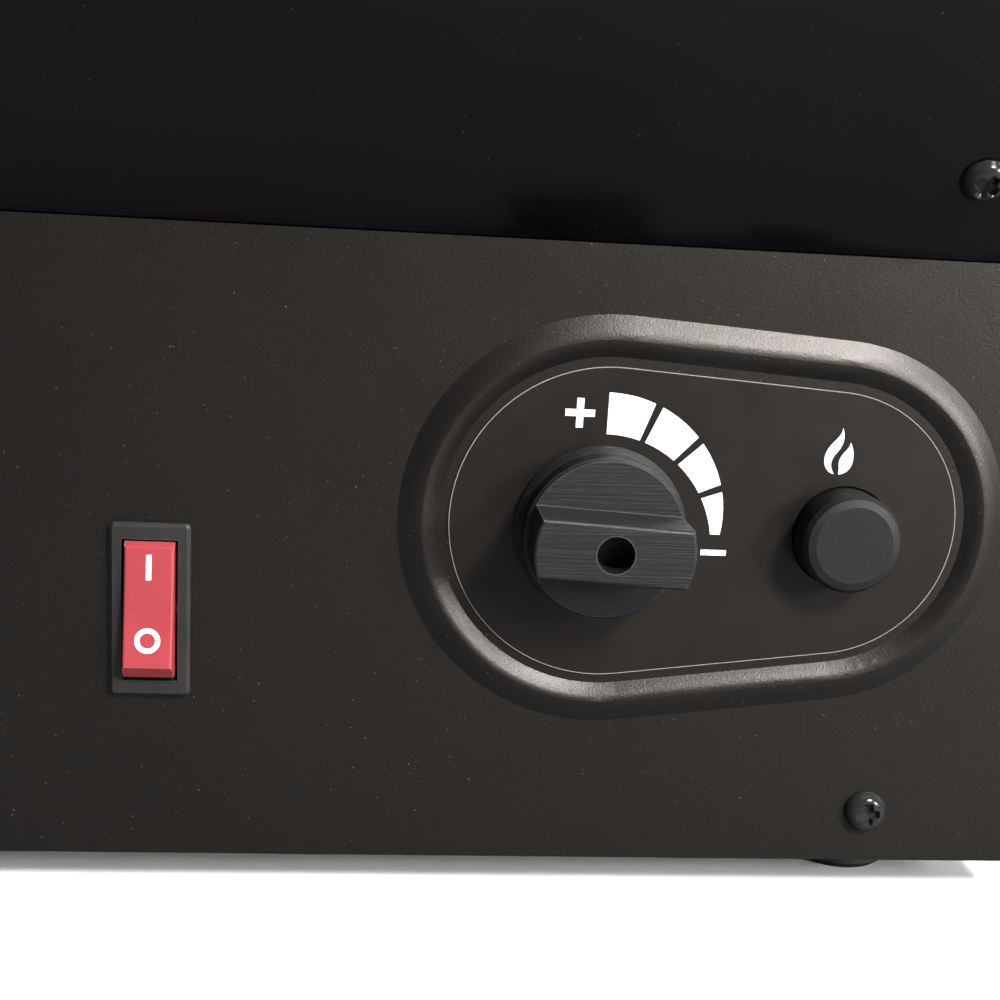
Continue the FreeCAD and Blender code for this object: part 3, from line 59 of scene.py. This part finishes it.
# Places read from the frame
# The control panel's flat face lies as far out as the blank panel does on the other side.
PANEL_Y = -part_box("blank_panel")[1].y
LABEL_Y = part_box("label_plate")[0].y
ROCKER_CENTRE = middle_of("rocker_housing")
ROCKER_CENTRE.y = PANEL_Y
BUTTON_CENTRE = middle_of("igniter_button")
KNOB_AXIS = Vector(next(j["pos_m"] for j in frame["joints"] if j["name"] == "knob_turn"))
AXIS_Z = middle_of("front_ring").z
UPPER_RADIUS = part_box("upper_shell")[1].y
LOWER_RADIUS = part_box("lower_shell")[1].y
# Takes a drawing's x to the right and y up the panel, and its z out of the panel.
PANEL_TURN = Matrix(((1, 0, 0), (0, 0, -1), (0, 1, 0)))

# The label's smaller end, in millimetres, and how far its middle lies above that of the bigger end
SMALL_RADIUS, SMALL_RISE = 24.1, 1.1
# The printed scale, in millimetres and degrees
SCALE_MARKS, SCALE_RADIUS = 4, 20.8
SCALE_START, SCALE_PITCH, SCALE_GAP = 91.4, 23.4, 1.7
SCALE_HALF_FIRST, SCALE_HALF_LAST = 3.65, 0.75
# Where the signs stand from the knob's axis and the flame from the button's, in millimetres
PLUS_PLACE, MINUS_PLACE, FLAME_PLACE = (-4.8, 20.7), (SCALE_RADIUS, -3.5), (-2.1, 15.5)
PRINT_THICK = 0.02
# Screws, in metres
HEAD_RADIUS, HEAD_RISE = 3.9 * MM, 2.4 * MM
SHANK_RADIUS, SHANK_LENGTH = 2 * MM, 7 * MM
CROSS_HALF, CROSS_REACH, CROSS_DEPTH, CROSS_SOFT = 0.55 * MM, 2.25 * MM, 1.3 * MM, 0.22 * MM


# Camera, placed from the middle of the rocker switch
def make_camera():
    yaw, pitch, roll = -0.097, -0.212, 0.055
    offset = Vector((36.9, 72.55, 236.3)) * MM
    data = bpy.data.cameras.new("camera")
    data.lens = 50
    data.sensor_width = 36
    data.clip_start = 0.01
    camera = bpy.data.objects.new("camera", data)
    scene.collection.objects.link(camera)
    turn = Matrix.Rotation(yaw, 3, "Y") @ Matrix.Rotation(pitch, 3, "X") @ Matrix.Rotation(roll, 3, "Z")
    place = Matrix.Translation(ROCKER_CENTRE + PANEL_TURN @ offset)
    camera.matrix_world = place @ (PANEL_TURN @ turn).to_4x4()
    scene.camera = camera


# Materials
WARM = (1, 0.93, 0.87, 1)


class Nodes:
    """A material's node tree with short ways to add and join nodes."""

    def __init__(self, name):
        self.material = bpy.data.materials.new(name)
        self.material.use_nodes = True
        self.tree = self.material.node_tree
        self.shader = self.tree.nodes["Principled BSDF"]
        self.place = self.tree.nodes.new("ShaderNodeTexCoord").outputs["Object"]

    def feed(self, socket, value):
        """Joins a socket to another one, or gives it a plain value or colour."""
        if isinstance(value, bpy.types.NodeSocket):
            self.tree.links.new(value, socket)
        elif socket.type == "RGBA" and len(value) == 3:
            socket.default_value = (*value, 1)
        else:
            socket.default_value = value

    def add(self, kind, **inputs):
        made = self.tree.nodes.new(kind)
        for key, value in inputs.items():
            self.feed(made.inputs[key.replace("_", " ")], value)
        return made

    def noise(self, scale, detail=4.0, rough=0.6, stretch=None):
        place = self.place
        if stretch:
            place = self.add("ShaderNodeMapping", Vector=place, Scale=stretch).outputs["Vector"]
        made = self.add("ShaderNodeTexNoise", Vector=place, Scale=scale, Detail=detail, Roughness=rough)
        return made.outputs["Fac"]

    def ramp(self, fac, low, high, start=0.3, end=0.7):
        limits = {"From_Min": start, "From_Max": end, "To_Min": low, "To_Max": high}
        return self.add("ShaderNodeMapRange", Value=fac, **limits).outputs["Result"]

    def blend(self, fac, a, b):
        made = self.tree.nodes.new("ShaderNodeMix")
        made.data_type = "RGBA"
        first, second = (s for s in made.inputs if s.type == "RGBA")
        for socket, value in ((made.inputs["Factor"], fac), (first, a), (second, b)):
            self.feed(socket, value)
        return next(s for s in made.outputs if s.type == "RGBA")

    def bump(self, height, strength, distance, under=None):
        made = self.add("ShaderNodeBump", Height=height, Strength=strength, Distance=distance)
        if under:
            self.feed(made.inputs["Normal"], under)
        return made.outputs["Normal"]

    def edges(self, width):
        """Near 1 along sharp edges of the surface and 0 elsewhere."""
        bevel = self.add("ShaderNodeBevel", Radius=width)
        bevel.samples = 6
        dot = self.tree.nodes.new("ShaderNodeVectorMath")
        dot.operation = "DOT_PRODUCT"
        self.feed(dot.inputs[0], bevel.outputs["Normal"])
        self.feed(dot.inputs[1], self.tree.nodes.new("ShaderNodeNewGeometry").outputs["Normal"])
        return self.ramp(dot.outputs["Value"], 1.0, 0.0, 0.8, 0.98)

    def finish(self, color, roughness, normal=None, **more):
        """Sets the shader's inputs and gives the finished material."""
        self.feed(self.shader.inputs["Base Color"], color)
        self.feed(self.shader.inputs["Roughness"], roughness)
        if normal:
            self.feed(self.shader.inputs["Normal"], normal)
        for key, value in more.items():
            self.feed(self.shader.inputs[key.replace("_", " ")], value)
        return self.material


def times(color, factor):
    return tuple(factor * c for c in color)


def powder_coat(name, dark, light, rough=(0.37, 0.4), grain=2600):
    """Satin powder coat: a fine pebbled grain with a slow drift of tone and faint dust specks."""
    n = Nodes(name)
    drift = n.ramp(n.noise(9, 3), 0.0, 1.0)
    fine = n.noise(grain, 3, 0.65)
    tone = n.blend(n.ramp(fine, 0.0, 0.5), n.blend(drift, dark, light), times(light, 1.8))
    specks = n.ramp(n.noise(2100, 1, 0.4), 0.0, 1.0, 0.765, 0.79)
    tone = n.blend(specks, tone, (0.07, 0.066, 0.062))
    normal = n.bump(fine, 0.4, 0.00012, n.bump(n.noise(700, 2), 0.12, 0.0002))
    return n.finish(tone, n.ramp(n.noise(60, 3), *rough), normal, Specular_IOR_Level=0.36, Specular_Tint=WARM)


def gloss_paint(name, color, rough=(0.16, 0.24)):
    """Glossy stove paint with a slight orange peel and a little dust."""
    n = Nodes(name)
    smudge = n.noise(24, 4)
    specks = n.ramp(n.noise(1900, 1, 0.4), 0.0, 1.0, 0.775, 0.79)
    tone = n.blend(n.ramp(smudge, 0.0, 1.0), color, times(color, 1.5))
    tone = n.blend(specks, tone, (0.02, 0.02, 0.02))
    peel = n.bump(n.noise(420, 2, 0.5), 0.1, 0.0003)
    return n.finish(tone, n.ramp(smudge, *rough), peel, Specular_IOR_Level=0.2)


def rolled_steel(name, color, tint, rough=(0.28, 0.42)):
    """Bare or plated steel with rolling lines along x and a slow change of tint."""
    n = Nodes(name)
    grain = n.noise(3, 4, 0.6, stretch=(3, 700, 700))
    tone = n.blend(n.ramp(n.noise(14, 4), 0.0, 1.0), color, tint)
    tone = n.blend(n.ramp(grain, 0.0, 0.35), tone, times(color, 0.6))
    return n.finish(tone, n.ramp(grain, *rough), n.bump(grain, 0.1, 0.0001), Metallic=1.0)


def moulded(name, color, rough=(0.45, 0.6), grain=1800, strength=0.2, edge_highlight=0.0, **more):
    """Moulded plastic or rubber with a fine texture and, where asked, paler edges as a painted highlight."""
    n = Nodes(name)
    tone = n.blend(n.ramp(n.noise(40, 3), 0.0, 1.0), color, times(color, 1.35))
    # Sharp edges are painted paler here: a painted highlight along every edge.
    if edge_highlight:
        tone = n.blend(n.edges(0.3 * MM), tone, tuple(min(1.0, c + edge_highlight) for c in color))
    fine = n.bump(n.noise(grain, 3, 0.6), strength, 0.0001)
    return n.finish(tone, n.ramp(n.noise(150, 3), *rough), fine, **more)


def scored_plastic(name, color):
    """The knob's black plastic, finely scored along its grip, with its edges painted pale as a highlight."""
    n = Nodes(name)
    coarse = n.noise(1, 5, 0.75, stretch=(28, 1500, 1500))
    fine = n.noise(1, 3, 0.6, stretch=(60, 4200, 4200))
    tone = n.blend(n.ramp(coarse, 0.0, 1.0, 0.4, 0.75), color, tuple(2.6 * c + 0.004 for c in color))
    # Edges painted pale grey: a painted highlight along the knob's edges.
    tone = n.blend(n.edges(0.35 * MM), tone, (0.09, 0.09, 0.088))
    normal = n.bump(coarse, 0.5, 0.0003, n.bump(fine, 0.25, 0.0001))
    return n.finish(tone, n.ramp(coarse, 0.5, 0.36), normal, Specular_IOR_Level=0.36)


def cast_metal(name, color, rough=(0.38, 0.55)):
    """Cast or machined metal with a fine, uneven surface."""
    n = Nodes(name)
    fine = n.noise(900, 4, 0.7)
    tone = n.blend(n.ramp(n.noise(30, 4), 0.0, 1.0), color, times(color, 0.72))
    return n.finish(tone, n.ramp(fine, *rough), n.bump(fine, 0.25, 0.00015), Metallic=1.0)


def plain_print(name, color):
    """Screen-printed ink with a faint mottle."""
    n = Nodes(name)
    tone = n.blend(n.ramp(n.noise(1200, 3), 0.0, 1.0), color, times(color, 0.93))
    return n.finish(tone, n.ramp(n.noise(300), 0.5, 0.62), n.bump(n.noise(2400), 0.08, 0.00005))


MATERIALS = {
    "barrel_black": gloss_paint("barrel_black_paint", (0.0013, 0.0013, 0.0014)),
    "base_black": powder_coat("base_black_coat", (0.0032, 0.0027, 0.0024), (0.0037, 0.0032, 0.0028)),
    "guard_black": gloss_paint("guard_black_paint", (0.008, 0.008, 0.008), rough=(0.28, 0.38)),
    "liner_steel": rolled_steel("liner_steel_sheet", (0.46, 0.44, 0.41), (0.42, 0.33, 0.25)),
    "zinc_steel": rolled_steel("zinc_plate", (0.55, 0.55, 0.56), (0.48, 0.49, 0.52), rough=(0.22, 0.34)),
    "screw_black": gloss_paint("screw_black_gloss", (0.012, 0.012, 0.013), rough=(0.12, 0.2)),
    "brass": cast_metal("machined_brass", (0.66, 0.47, 0.2), rough=(0.24, 0.38)),
    "cast_aluminium": cast_metal("cast_aluminium", (0.6, 0.6, 0.61)),
    "motor_steel": powder_coat("motor_enamel", (0.03, 0.03, 0.032), (0.04, 0.04, 0.042),
                               rough=(0.35, 0.45), grain=1200),
    "knob_plastic": scored_plastic("knob_scored_plastic", (0.0042, 0.004, 0.0038)),
    # The button, bezel and rocker get paler edges, a painted highlight.
    "button_rubber": moulded("button_plastic", (0.0045, 0.0043, 0.004), rough=(0.5, 0.6), grain=2600,
                             strength=0.35, edge_highlight=0.02, Specular_IOR_Level=0.27),
    "bezel_plastic": moulded("bezel_plastic", (0.0095, 0.009, 0.0085), rough=(0.42, 0.55), grain=1500,
                             strength=0.4, edge_highlight=0.03),
    "rocker_red": moulded("rocker_red_plastic", (0.235, 0.026, 0.032), rough=(0.4, 0.48), grain=2200,
                          strength=0.08, edge_highlight=0.1, Coat_Weight=0.1),
    "label_film": moulded("label_film", (0.0042, 0.0035, 0.003), rough=(0.36, 0.42), grain=3000,
                          strength=0.12, Specular_IOR_Level=0.32, Specular_Tint=WARM),
    "rubber": moulded("black_rubber", (0.014, 0.014, 0.014), rough=(0.65, 0.8), grain=900, strength=0.3),
    "white_ceramic": moulded("glazed_ceramic", (0.74, 0.72, 0.67), rough=(0.15, 0.25), grain=300,
                             strength=0.05),
    "switch_can": rolled_steel("tinned_can", (0.6, 0.6, 0.6), (0.5, 0.5, 0.52)),
}
PRINT = plain_print("white_print", (0.83, 0.83, 0.82))
LABEL_EDGE = plain_print("label_cut_edge", (0.2, 0.18, 0.16))


def dress_frame():
    """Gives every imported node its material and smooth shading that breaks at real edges."""
    slots = {p["node"]: p["material_slot"] for p in frame["record"]["subparts"]}
    for name, thing in frame["nodes"].items():
        thing.data.materials.clear()
        thing.data.materials.append(MATERIALS[slots[name]])
        for face in thing.data.polygons:
            face.material_index = 0
        thing.data.shade_smooth()
        thing.data.set_sharp_from_angle(angle=math.radians(30))


# Pieces made here, from flat outlines in millimetres
def add_piece(name, mesh, material, body):
    thing = bpy.data.objects.new(name, mesh)
    scene.collection.objects.link(thing)
    mesh.materials.append(material)
    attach(thing, body)
    return thing


def mesh_of(name, work):
    bmesh.ops.recalc_face_normals(work, faces=work.faces)
    mesh = bpy.data.meshes.new(name)
    work.to_mesh(mesh)
    work.free()
    return mesh


def plate(work, points, thick):
    """Raises a closed outline into a thin solid."""
    low, high = ([work.verts.new((x * MM, y * MM, z * MM)) for x, y in points] for z in (0, thick))
    work.faces.new(low[::-1])
    work.faces.new(high)
    for i in range(len(points)):
        j = (i + 1) % len(points)
        work.faces.new((low[i], low[j], high[j], high[i]))


def strip(work, inner, outer, thick):
    """A closed band between two outlines with the same number of points."""
    rows = []
    for points, height in ((inner, 0), (inner, thick), (outer, thick), (outer, 0)):
        rows.append([work.verts.new((x * MM, y * MM, height * MM)) for x, y in points])
    for a, b in zip(rows, rows[1:] + rows[:1]):
        for i in range(len(inner)):
            j = (i + 1) % len(inner)
            work.faces.new((a[i], a[j], b[j], b[i]))


def bar(middle, half_width, half_height):
    x, y = middle
    return [(x + across * half_width, y + up * half_height)
            for across, up in ((-1, -1), (1, -1), (1, 1), (-1, 1))]


def circle(middle, radius, start=0.0, end=2 * math.pi, steps=64):
    """Points along an arc from one angle to another, with both ends."""
    x, y = middle
    turns = [start + (end - start) * i / steps for i in range(steps + 1)]
    return [(x + radius * math.cos(turn), y + radius * math.sin(turn)) for turn in turns]


def bezier(points, steps=10):
    """Points along cubic curves, each given by its start and two handles and ending where the next starts."""
    made = []
    for k in range(0, len(points) - 1, 3):
        a, b, c, d = (Vector(points[k + i]) for i in range(4))
        for i in range(steps):
            t = i / steps
            s = 1 - t
            made.append(a * s ** 3 + b * 3 * t * s ** 2 + c * 3 * t * t * s + d * t ** 3)
    return made


def scale_mark(middle, number, steps=12):
    """One sector of the printed scale. The sectors get thinner from + to -."""
    start = SCALE_START - SCALE_PITCH * number - SCALE_GAP
    end = SCALE_START - SCALE_PITCH * (number + 1) + SCALE_GAP
    outer, inner = [], []
    for i in range(steps + 1):
        angle = start + (end - start) * i / steps
        along = (SCALE_START - angle) / (SCALE_MARKS * SCALE_PITCH)
        half = SCALE_HALF_FIRST + (SCALE_HALF_LAST - SCALE_HALF_FIRST) * along ** 2
        out = Vector((math.cos(math.radians(angle)), math.sin(math.radians(angle))))
        outer.append(middle + (SCALE_RADIUS + half) * out)
        inner.append(middle + (SCALE_RADIUS - half) * out)
    return outer + inner[::-1]


def plus_sign(middle, arm=2.6, half=0.62):
    quarter = [(half, -half), (arm, -half), (arm, half)]
    points = []
    for _ in range(4):
        points += [(middle.x + x, middle.y + y) for x, y in quarter]
        quarter = [(-y, x) for x, y in quarter]
    return points


def flame(middle):
    """The two tongues of a plain flame, as used for ignition on any appliance."""
    left = bezier([(0.2, 4.2), (0.5, 2.2), (-2.6, 1.4), (-2.6, -1.6), (-2.6, -3.2), (-1.5, -4.1),
                   (-0.6, -4.2), (-1.6, -2.9), (-1.5, -1.6), (-0.5, -0.4), (0.6, 0.9), (1.0, 2.4),
                   (0.2, 4.2)])
    right = bezier([(1.9, 1.6), (1.9, 0.4), (0.3, -0.4), (0.1, -1.9), (0.0, -2.7), (0.4, -3.4),
                    (0.1, -4.2), (1.4, -4.2), (2.5, -3.2), (2.6, -1.6), (2.7, -0.3), (2.4, 0.7),
                    (1.9, 1.6)])
    return [[middle + point for point in tongue] for tongue in (left, right)]


def panel_marks():
    """The print on the label: the scale round the knob, its two signs and a flame over the button."""
    knob, button = (Vector((spot.x, spot.z)) / MM for spot in (KNOB_AXIS, BUTTON_CENTRE))
    outlines = [scale_mark(knob, number) for number in range(SCALE_MARKS)]
    outlines.append(plus_sign(knob + Vector(PLUS_PLACE)))
    outlines.append(bar(knob + Vector(MINUS_PLACE), half_width=2.3, half_height=0.5))
    outlines += flame(button + Vector(FLAME_PLACE))
    work = bmesh.new()
    for points in outlines:
        plate(work, points, PRINT_THICK)
    mesh = mesh_of("panel_marks", work)
    mesh.transform(Matrix.Translation((0, LABEL_Y, 0)) @ PANEL_TURN.to_4x4())
    add_piece("panel_marks", mesh, PRINT, "heater")


def label_outline(grow):
    """The label's outline, grown outwards: two circles joined by their outer tangents."""
    low, high = (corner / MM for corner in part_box("label_plate"))
    radius = (high.z - low.z) / 2
    big = Vector((low.x + radius, (low.z + high.z) / 2))
    small = Vector((high.x - SMALL_RADIUS, big.y + SMALL_RISE))
    along = small - big
    heading = math.atan2(along.y, along.x)
    lean = math.acos((radius - SMALL_RADIUS) / along.length)
    return (circle(big, radius + grow, heading + lean, heading + 2 * math.pi - lean, 48)
            + circle(small, SMALL_RADIUS + grow, heading - lean, heading + lean, 48))


def label_rim():
    """The pale cut edge of the label."""
    inside, outside, thick = 0.12, 0.02, 0.32
    work = bmesh.new()
    strip(work, label_outline(-inside), label_outline(outside), thick)
    mesh = mesh_of("label_rim", work)
    mesh.transform(Matrix.Translation((0, PANEL_Y, 0)) @ PANEL_TURN.to_4x4())
    add_piece("label_rim", mesh, LABEL_EDGE, "heater")


def rocker_marks():
    """The bar and ring of an on-off switch, lying on the rocker's slightly hollow face."""
    tilt, pivot_depth, thick = math.radians(7), 1.0, 0.05
    middle_height, end_height = 4.25, 4.5
    upper_end, lower_end = 10.95, 9.95
    bar_rise, ring_rise, ring_inner, ring_outer = 7.55, -5.2, 1.32, 2.2
    work = bmesh.new()
    plate(work, bar((0, bar_rise), half_width=0.45, half_height=2.2), thick)
    inner, outer = (circle((0, ring_rise), radius)[:-1] for radius in (ring_inner, ring_outer))
    strip(work, inner, outer, thick)
    for vert in work.verts:
        end = upper_end if vert.co.y > 0 else lower_end
        along = abs(vert.co.y) / (end * MM)
        vert.co.z += (middle_height + (end_height - middle_height) * along) * MM
    mesh = mesh_of("rocker_marks", work)
    place = Matrix.Translation(ROCKER_CENTRE) @ PANEL_TURN.to_4x4()
    lean = Matrix.Translation((0, 0, -pivot_depth * MM)) @ Matrix.Rotation(-tilt, 4, "X")
    mesh.transform(place @ lean)
    add_piece("rocker_marks", mesh, PRINT, "rocker")


# Screws with cross recesses
def head_height(radius, angle):
    """The height of a pan head at a place on it: a dome, lower inside the cross recess."""
    dome = max(0.25 * HEAD_RISE, HEAD_RISE * math.sqrt(max(0.0, 1 - (radius / HEAD_RADIUS) ** 3.2)))
    x, y = abs(radius * math.cos(angle)), abs(radius * math.sin(angle))
    near, far = min(x, y), max(x, y)
    side = min(1.0, max(0.0, (CROSS_HALF - near * (0.6 + 0.4 * far / CROSS_REACH)) / CROSS_SOFT + 1))
    end = min(1.0, max(0.0, (CROSS_REACH - far) / (2.2 * CROSS_SOFT)))
    return dome - CROSS_DEPTH * side * end * (1 - 0.35 * far / CROSS_REACH)


def add_screw(work, spot, out, turn, rings=22, around=72):
    """A cross-head screw whose head is seated at a spot and points out, on a plain shank."""
    facing = Vector(out).normalized().to_track_quat("Z", "Y").to_matrix().to_4x4()
    place = Matrix.Translation(spot) @ facing @ Matrix.Rotation(turn, 4, "Z")
    angles = [2 * math.pi * i / around for i in range(around)]

    def row(radius, heights):
        corners = [Vector((radius * math.cos(angle), radius * math.sin(angle), height))
                   for angle, height in zip(angles, heights)]
        return [work.verts.new(place @ corner) for corner in corners]

    centre = work.verts.new(place @ Vector((0, 0, head_height(0, 0))))
    rows = []
    for k in range(1, rings + 1):
        radius = HEAD_RADIUS * (k / rings) ** 0.9
        rows.append(row(radius, [head_height(radius, angle) for angle in angles]))
    point = -SHANK_LENGTH - 0.6 * SHANK_RADIUS
    for radius, level in ((HEAD_RADIUS, 0), (SHANK_RADIUS, 0), (SHANK_RADIUS, -SHANK_LENGTH),
                          (0.4 * SHANK_RADIUS, point)):
        rows.append(row(radius, [level] * around))
    for i in range(around):
        j = (i + 1) % around
        work.faces.new((centre, rows[0][i], rows[0][j]))
        for a, b in zip(rows, rows[1:]):
            work.faces.new((a[i], b[i], b[j], a[j]))
    work.faces.new(rows[-1][::-1])


def screw_group(node, seats):
    """Cross-head screws in the places of the node's plain ones, each turned its own way."""
    random.seed(len(node))
    work = bmesh.new()
    for spot, out in seats:
        add_screw(work, spot, out, random.uniform(0, math.pi / 2))
    mesh = mesh_of(node + "_detailed", work)
    mesh.shade_smooth()
    mesh.set_sharp_from_angle(angle=math.radians(38))
    thing = add_piece(node + "_detailed", mesh, MATERIALS["screw_black"], "heater")
    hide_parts(node)


def islands(node):
    """The lowest and highest corner of each separate solid in a node."""
    work = bmesh.new()
    work.from_mesh(frame["nodes"][node].data)
    bmesh.ops.remove_doubles(work, verts=work.verts, dist=1e-6)
    left, found = set(work.verts), []
    while left:
        stack, group = [left.pop()], []
        while stack:
            vert = stack.pop()
            group.append(vert.co.copy())
            for edge in vert.link_edges:
                other = edge.other_vert(vert)
                if other in left:
                    left.remove(other)
                    stack.append(other)
        found.append(tuple(Vector([pick(axis) for axis in zip(*group)]) for pick in (min, max)))
    work.free()
    return sorted(found, key=lambda pair: tuple(round(c, 4) for c in pair[0]))


def screws():
    for node in ("panel_screws", "shell_screws"):
        seats = []
        for low, high in islands(node):
            middle = (low + high) / 2
            side = 1 if middle.y > 0 else -1
            edge = high.y if side > 0 else low.y
            seats.append((Vector((middle.x, edge - side * HEAD_RISE, middle.z)), (0, side, 0)))
        screw_group(node, seats)
    seats = []
    for low, high in islands("handle_screws"):
        middle = (low + high) / 2
        seats.append((Vector((middle.x, middle.y, high.z - HEAD_RISE)), (0, 0, 1)))
    screw_group("handle_screws", seats)
    seats = []
    for low, high in islands("bracket_screws"):
        middle = (low + high) / 2
        out = Vector((0, middle.y, middle.z - AXIS_Z)).normalized()
        radius = UPPER_RADIUS if out.z > 0 else LOWER_RADIUS
        seats.append((Vector((middle.x, 0, AXIS_Z)) + out * radius, out))
    screw_group("bracket_screws", seats)


# Floor, backdrop and lights
def add_floor(half=60):
    """A wide floor that the camera sees as pale and that throws little light back on the object."""
    work = bmesh.new()
    work.faces.new([work.verts.new((x * half, y * half, 0)) for x, y in ((-1, -1), (1, -1), (1, 1), (-1, 1))])
    mesh = mesh_of("floor", work)
    floor = bpy.data.objects.new("floor", mesh)
    scene.collection.objects.link(floor)
    n = Nodes("pale_floor")
    pale = n.blend(n.ramp(n.noise(3, 3), 0.0, 1.0), (0.9, 0.9, 0.895), (0.94, 0.94, 0.935))
    seen = n.tree.nodes.new("ShaderNodeLightPath").outputs["Is Camera Ray"]
    tone = n.blend(seen, (0.14, 0.14, 0.14), pale)
    mesh.materials.append(n.finish(tone, 0.7, Specular_IOR_Level=0.2))


def add_backdrop(seen=0.82, unseen=0.03):
    """A world that is near white where the camera sees it and lights the object only a little."""
    world = bpy.data.worlds.new("studio")
    scene.world = world
    world.use_nodes = True
    tree = world.node_tree
    back = tree.nodes["Background"]
    back.inputs["Color"].default_value = (1, 1, 1, 1)
    path = tree.nodes.new("ShaderNodeLightPath")
    level = tree.nodes.new("ShaderNodeMapRange")
    level.inputs["To Min"].default_value = unseen
    level.inputs["To Max"].default_value = seen
    tree.links.new(path.outputs["Is Camera Ray"], level.inputs["Value"])
    tree.links.new(level.outputs["Result"], back.inputs["Strength"])


def overhead():
    """A wide, soft light from straight above, which keeps the whole floor evenly pale."""
    data = bpy.data.lights.new("overhead", "SUN")
    data.energy = 2.6
    data.angle = math.radians(35)
    thing = bpy.data.objects.new("overhead", data)
    scene.collection.objects.link(thing)
    thing.location = (0, 0, 3)


def lamp(name, spot, aim, size, power):
    data = bpy.data.lights.new(name, "AREA")
    data.shape = "RECTANGLE"
    data.size, data.size_y = size
    data.energy = power
    thing = bpy.data.objects.new(name, data)
    scene.collection.objects.link(thing)
    thing.location = spot
    thing.rotation_euler = (Vector(aim) - Vector(spot)).to_track_quat("-Z", "Y").to_euler()


make_camera()
dress_frame()
panel_marks()
label_rim()
rocker_marks()
screws()
add_floor()
add_backdrop()
lamp("key", spot=(0.62, -0.9, 0.86), aim=(0.08, -0.07, 0.08), size=(0.25, 0.25), power=40)
lamp("side", spot=(1.05, -0.85, 0.4), aim=(0.08, -0.07, 0.08), size=(0.2, 0.3), power=19)
lamp("fill", spot=(-1.1, -1.0, 0.9), aim=(0, 0, 0.15), size=(1.0, 0.8), power=0.8)
lamp("outlet_side", spot=(-1.4, 0.3, 0.7), aim=(-0.2, 0, 0.19), size=(0.8, 0.8), power=9)
lamp("fan_side", spot=(1.5, 0.3, 0.7), aim=(0.2, 0, 0.19), size=(0.8, 0.8), power=9)
lamp("back", spot=(-0.3, 1.4, 1.1), aim=(0, 0, 0.15), size=(1.2, 0.9), power=20)
overhead()
scene.view_settings.view_transform = "Standard"
